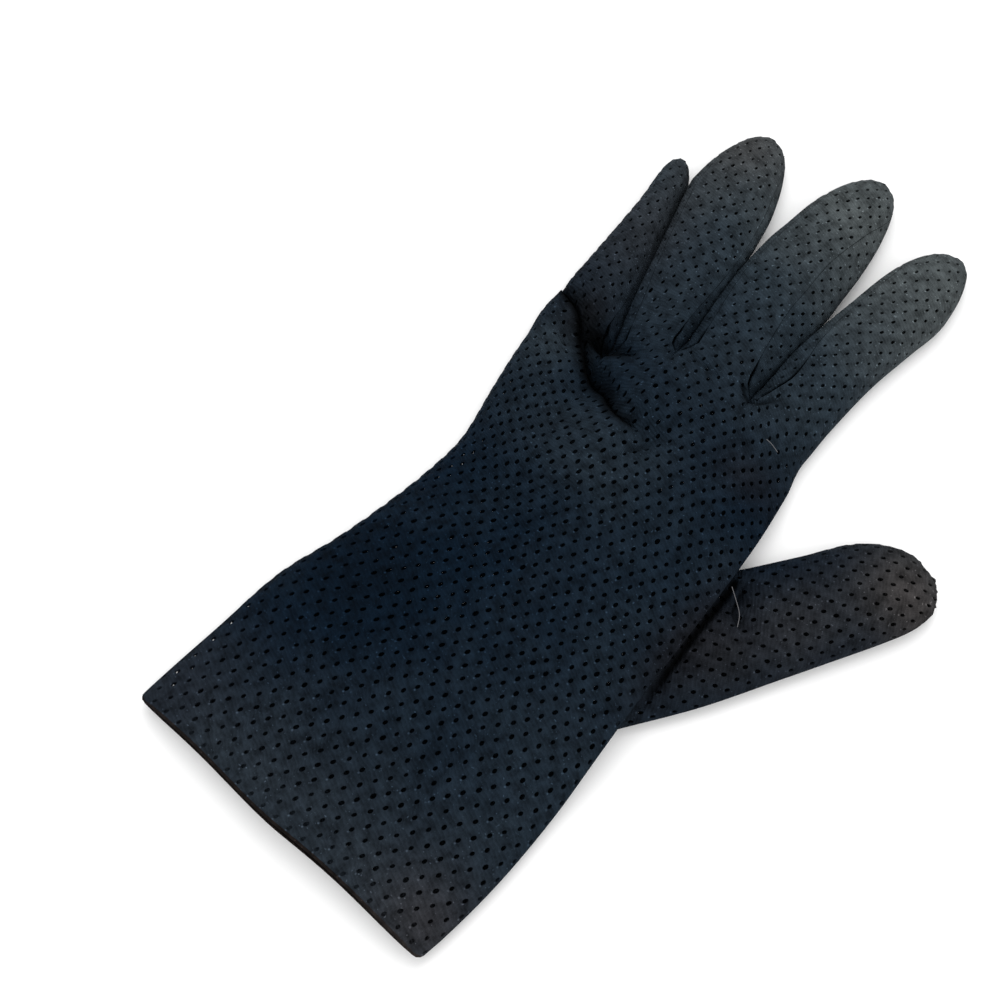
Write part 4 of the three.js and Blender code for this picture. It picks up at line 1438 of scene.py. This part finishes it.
@dataclass
class Hand:
    """The trank, its three fourchettes and their seams: everything but the thumb."""

    form: Form
    eyelets: Eyelets = field(default_factory=Eyelets)
    c: np.ndarray = field(default_factory=lambda: np.sin(np.linspace(-np.pi / 2, np.pi / 2, ACROSS)))

    def rows(self, k: int) -> tuple[np.ndarray, np.ndarray]:
        """The hand's rows and the finger's rows of the tables.

        The hand's rows are wider at the cuff than at the knuckles, and a finger's draw together at its tip.
        """
        u = np.linspace(0, 1, HAND_ROWS * PER_ROW + 1)
        v = u + ROW_SPREAD * np.sin(np.pi * u)
        return v, crowded(FINGERS[k].length, FINGER_ROW)[1:]

    def table(self, k: int, side: Side) -> np.ndarray:
        """Points of one finger's whole panel, from the cuff to the fingertip."""
        v, at = self.rows(k)
        hand = self.form.hand_rows(k, v, self.c)[side.value]
        return np.concatenate([hand, self.form.finger_rows(k, at, self.c)[side.value]])

    def strip_width(self, k: int, side: int, at: np.ndarray) -> np.ndarray:
        """How wide the fourchette's strip is along a finger's side, closing to nothing near the tip."""
        width = FINGERS[k].outline.read("left_strip" if side < 0 else "right_strip", at)
        return STRIP_WIDTH * width * (1 - smooth(at, STRIP_END - STRIP_FADE, STRIP_END))

    def seam_places(self, k: int, side: int, table: np.ndarray) -> np.ndarray:
        """The place c of the seam on each row of a panel.

        Along the finger the seam lies a strip's width from the edge. Below the crotch it follows a circle
        about the crotch, until it meets the neighbour's seam.

        Args:
            k: the finger's number.
            side: -1 for its left seam, 1 for its right.
            table: the panel's points.

        Returns:
            Places from -1 to 1.
        """
        v, at = self.rows(k)
        column = 0 if side < 0 else -1
        wide = row_widths(table)
        crotch = self.form.crotches[k if side < 0 else k + 1]
        radius = STRIP_WIDTH + FINGER_GAP / 2
        below = np.clip(crotch[1] - table[: len(v), column, 1], 0, radius)
        circle = np.sqrt(radius ** 2 - below ** 2)
        if self.strip_width(k, side, at[:1])[0] == 0:
            circle = np.zeros_like(circle)
        width = np.concatenate([circle, self.strip_width(k, side, at)])
        return side * (1 - 2 * width / wide)

    def panel(self, k: int, side: Side) -> Panel:
        """The trank's panel over one finger and its part of the hand."""
        table = self.table(k, side)
        v, at = self.rows(k)
        low = self.seam_places(k, -1, table)
        high = self.seam_places(k, 1, table)
        if side is Side.PALM and k == len(FINGERS) - 1:
            root = self.form.root_line(table[: len(v), -1, 1])
            x = table[: len(v), :, 0]
            root = np.minimum(root, x[:, -1])
            places = rowwise(root[:, None], x, np.broadcast_to(self.c, x.shape))
            set_in = table[: len(v), -1, 1] < self.form.thumb_middle[1] + THUMB_ROOT_WIDTH / 2 - ROOT_CORNER
            high[: len(v)] = np.where(set_in, np.minimum(high[: len(v)], places[:, 0]), high[: len(v)])
        rows = np.arange(len(table)) / PER_ROW
        hold = smooth(rows, HAND_ROWS + HOLD_ROWS[0], HAND_ROWS + HOLD_ROWS[1])
        finger = FINGERS[k]
        middle = (self.form.crotches[k] + self.form.crotches[k + 1]) / 2
        along, right = heading(finger.lean)
        spine = middle + np.outer(at * finger.length, along)
        left = table[len(v):, 0, :2]
        across = table[len(v):, -1, :2] - left
        share = np.clip(((spine - left) @ right) / np.maximum(across @ right, 1e-6), 0, 1)
        axis = np.concatenate([np.zeros(len(v)), 2 * share - 1])
        offset = sum(other.columns for other in FINGERS[:k]) + PALM_SHIFT * side.value
        return Panel(table, self.c, (low, high), axis, hold, finger.columns, offset)

    def strip_panel(self, k: int, side: int, face: Side) -> Panel:
        """One side of a fourchette: what lies between a finger's seam and its edge.

        On the back the groove of the seam is widest about the crotch and closes along the finger.
        """
        table = self.table(k, face)
        seam = self.seam_places(k, side, table)
        v, at = self.rows(k)
        reach = FINGERS[k].groove if side < 0 else LEAST_GROOVE
        open_share = 1 - smooth(np.concatenate([0 * v, at * FINGERS[k].length]), reach / 4, reach)
        wide = CROTCH_GROOVE if face is Side.BACK else SEAM_GROOVE
        gap = 2 * lerp(SEAM_GROOVE, wide, open_share) / row_widths(table)
        edge = np.full(len(table), float(side))
        inner = seam + side * gap
        inner = np.where(side * inner > 1, edge, inner)
        limits = (inner, edge) if side > 0 else (edge, inner)
        return Panel(table, self.c, limits, edge, np.ones(len(table)), 0, 0)

    def mouth(self) -> np.ndarray:
        """The closed line round the glove's mouth, half the cloth inside its outer face."""
        back = [self.table(k, Side.BACK)[0] for k in range(len(FINGERS))]
        palm = [self.table(k, Side.PALM)[0] for k in range(len(FINGERS))]
        top = np.concatenate(back)[2:-2:5] - (0, 0, CLOTH / 2)
        bottom = np.concatenate(palm)[-3:2:-5] + (0, 0, CLOTH / 2)
        bottom[:, 2] = np.maximum(bottom[:, 2], EDGE_RADIUS)
        return np.concatenate([top, bottom]) * (1 - EDGE_RADIUS * 2 / CUFF_WIDTH, 1, 1)

    def build(self, material: bpy.types.Material, strip_material: bpy.types.Material) -> bpy.types.Object:
        """Makes the trank and the three fourchettes.

        Args:
            material: the trank's finish.
            strip_material: the strips' finish.

        Returns:
            The trank's object.
        """
        panels = [(self.panel(k, side), side) for k in range(len(FINGERS)) for side in Side]
        mesh = sew("eyelet_trank", panels, self.eyelets, CREASES)
        trank = make_piece("eyelet_trank", mesh, material)
        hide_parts("trank")
        for k in range(len(FINGERS) - 1):
            pair = f"{FINGERS[k + 1].name}_{FINGERS[k].name}"
            parts = [(self.strip_panel(k, 1, side), side) for side in Side]
            parts += [(self.strip_panel(k + 1, -1, side), side) for side in Side]
            name = f"strip_{pair}"
            strip = make_piece(name, sew(name, parts, self.eyelets, CREASES), strip_material)
            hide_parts(f"fourchette_{pair}")
        return trank


@dataclass
class ThumbPiece:
    """The set-in thumb, from the bow of its root to its tip."""

    form: Form
    eyelets: Eyelets = field(default_factory=lambda: Eyelets(closing=0.05))
    c: np.ndarray = field(default_factory=lambda: np.sin(np.linspace(-np.pi / 2, np.pi / 2, ACROSS)))

    def panel(self, side: Side) -> Panel:
        """One face of the thumb, its lattice parallel to the thumb's axis and its root cut on the bow."""
        start = THUMB.rows[0][0]
        at = lerp(start, 1, crowded((1 - start) * THUMB_LENGTH, THUMB_ROW))
        table = self.form.thumb_rows(at, self.c)[side.value]
        beyond = table[..., 0] - self.form.root_line(table[..., 1])
        inside = np.isfinite(beyond) & (beyond < 0)
        low_height = self.form.thumb_middle[1] - THUMB_ROOT_WIDTH / 2
        edge_x = self.form.hand_edges(table[..., 1])[1]
        inside |= (table[..., 1] <= low_height) & (table[..., 0] < edge_x)
        last = np.where(inside.any(axis=1), len(self.c) - 1 - np.argmax(inside[:, ::-1], axis=1), 0)
        low = self.c[last]
        across = np.zeros(len(at))
        limits = (low, np.ones(len(at)))
        return Panel(table, self.c, limits, across, np.ones(len(at)), 6.0, PALM_SHIFT * side.value)

    def build(self, material: bpy.types.Material) -> bpy.types.Object:
        """Makes the thumb with its finish."""
        panels = [(self.panel(side), side) for side in Side]
        mesh = sew("eyelet_thumb", panels, self.eyelets, THUMB_CREASES)
        thumb = make_piece("eyelet_thumb", mesh, material)
        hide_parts("thumb")
        return thumb


@dataclass(frozen=True)
class Studio:
    """A plain pale floor, soft light and the camera at the photo's place over the table."""

    eye: tuple[float, float, float] = (0.09911, -0.14490, 0.39150)
    aim: tuple[float, float, float] = (-0.01744, -0.01529, 0.0)
    lens: float = 60.0
    floor_size: float = 4.0

    def floor(self) -> None:
        """A pale plane under the glove."""
        half = self.floor_size / 2
        corners = np.array([(-half, -half, 0), (half, -half, 0), (half, half, 0), (-half, half, 0)])
        mesh = new_mesh("floor", corners - (0, 0, 0.0001), [np.array([[0, 1, 2, 3]])])
        material = bpy.data.materials.new("floor_finish")
        material.use_nodes = True
        shader = material.node_tree.nodes["Principled BSDF"]
        shader.inputs["Base Color"].default_value = (0.86, 0.86, 0.86, 1)
        shader.inputs["Roughness"].default_value = 0.9
        mesh.materials.append(material)
        plane = bpy.data.objects.new("floor", mesh)
        bpy.context.scene.collection.objects.link(plane)

    def lamp(self, name: str, place: tuple, power: float, size: float) -> None:
        """A square area light that faces the glove."""
        light = bpy.data.lights.new(name, "AREA")
        light.energy = power
        light.size = size
        lamp = bpy.data.objects.new(name, light)
        lamp.location = place
        lamp.rotation_euler = (-Vector(place)).to_track_quat("-Z", "Y").to_euler()
        bpy.context.scene.collection.objects.link(lamp)

    def build(self) -> None:
        """Sets the floor, the lights, the surrounding light and the camera."""
        self.floor()
        self.lamp("key", (-0.5, 0.7, 1.1), 11, 1.3)
        self.lamp("fill", (0.9, -0.5, 0.9), 6, 1.2)
        world = bpy.data.worlds.new("studio")
        world.use_nodes = True
        world.node_tree.nodes["Background"].inputs["Color"].default_value = (1, 1, 1, 1)
        world.node_tree.nodes["Background"].inputs["Strength"].default_value = 1.0
        bpy.context.scene.world = world
        bpy.context.scene.view_settings.view_transform = "Standard"
        lens = bpy.data.cameras.new("camera")
        lens.lens = self.lens
        lens.sensor_width = 36
        camera = bpy.data.objects.new("camera", lens)
        camera.location = self.eye
        camera.rotation_euler = (Vector(self.aim) - Vector(self.eye)).to_track_quat("-Z", "Y").to_euler()
        bpy.context.scene.collection.objects.link(camera)
        bpy.context.scene.camera = camera


def main() -> None:
    """Builds the studio and the glove's pieces in order."""
    logging.basicConfig(level=logging.INFO, format="%(name)s: %(message)s")
    Studio().build()
    groups = {
        "cloth_tone": cloth_tone_group(),
        "knit_relief": knit_relief_group(),
        "eyelet_glint": eyelet_glint_group(),
    }
    knit = KnitFinish("knit").material(groups)
    strip = KnitFinish("knit_strip", slate=(0.0150, 0.0220, 0.0285)).material(groups)
    thumb_knit = KnitFinish("knit_thumb", slate=(0.0160, 0.0195, 0.0215)).material(groups)
    form = Form()
    hand = Hand(form)
    trank = hand.build(knit, strip)
    thumb = ThumbPiece(form).build(thumb_knit)
    edge_knit = KnitFinish("knit_edge", navy=(0.003, 0.002, 0.002), slate=(0.007, 0.005, 0.004))
    edge_cord = make_cord("cuff_edge", [hand.mouth()], EDGE_RADIUS, True)
    edge = make_piece("cuff_edge", edge_cord, edge_knit.material(groups))
    thread_finish = ThreadFinish("loose_thread").material()
    paths = [curve_through(np.array(path), THREAD_STEPS) for path in LOOSE_THREADS]
    threads = make_cord("loose_threads", paths, THREAD_RADIUS, False)
    thread = make_piece("loose_threads", threads, thread_finish)


if __name__ == "__main__":
    main()
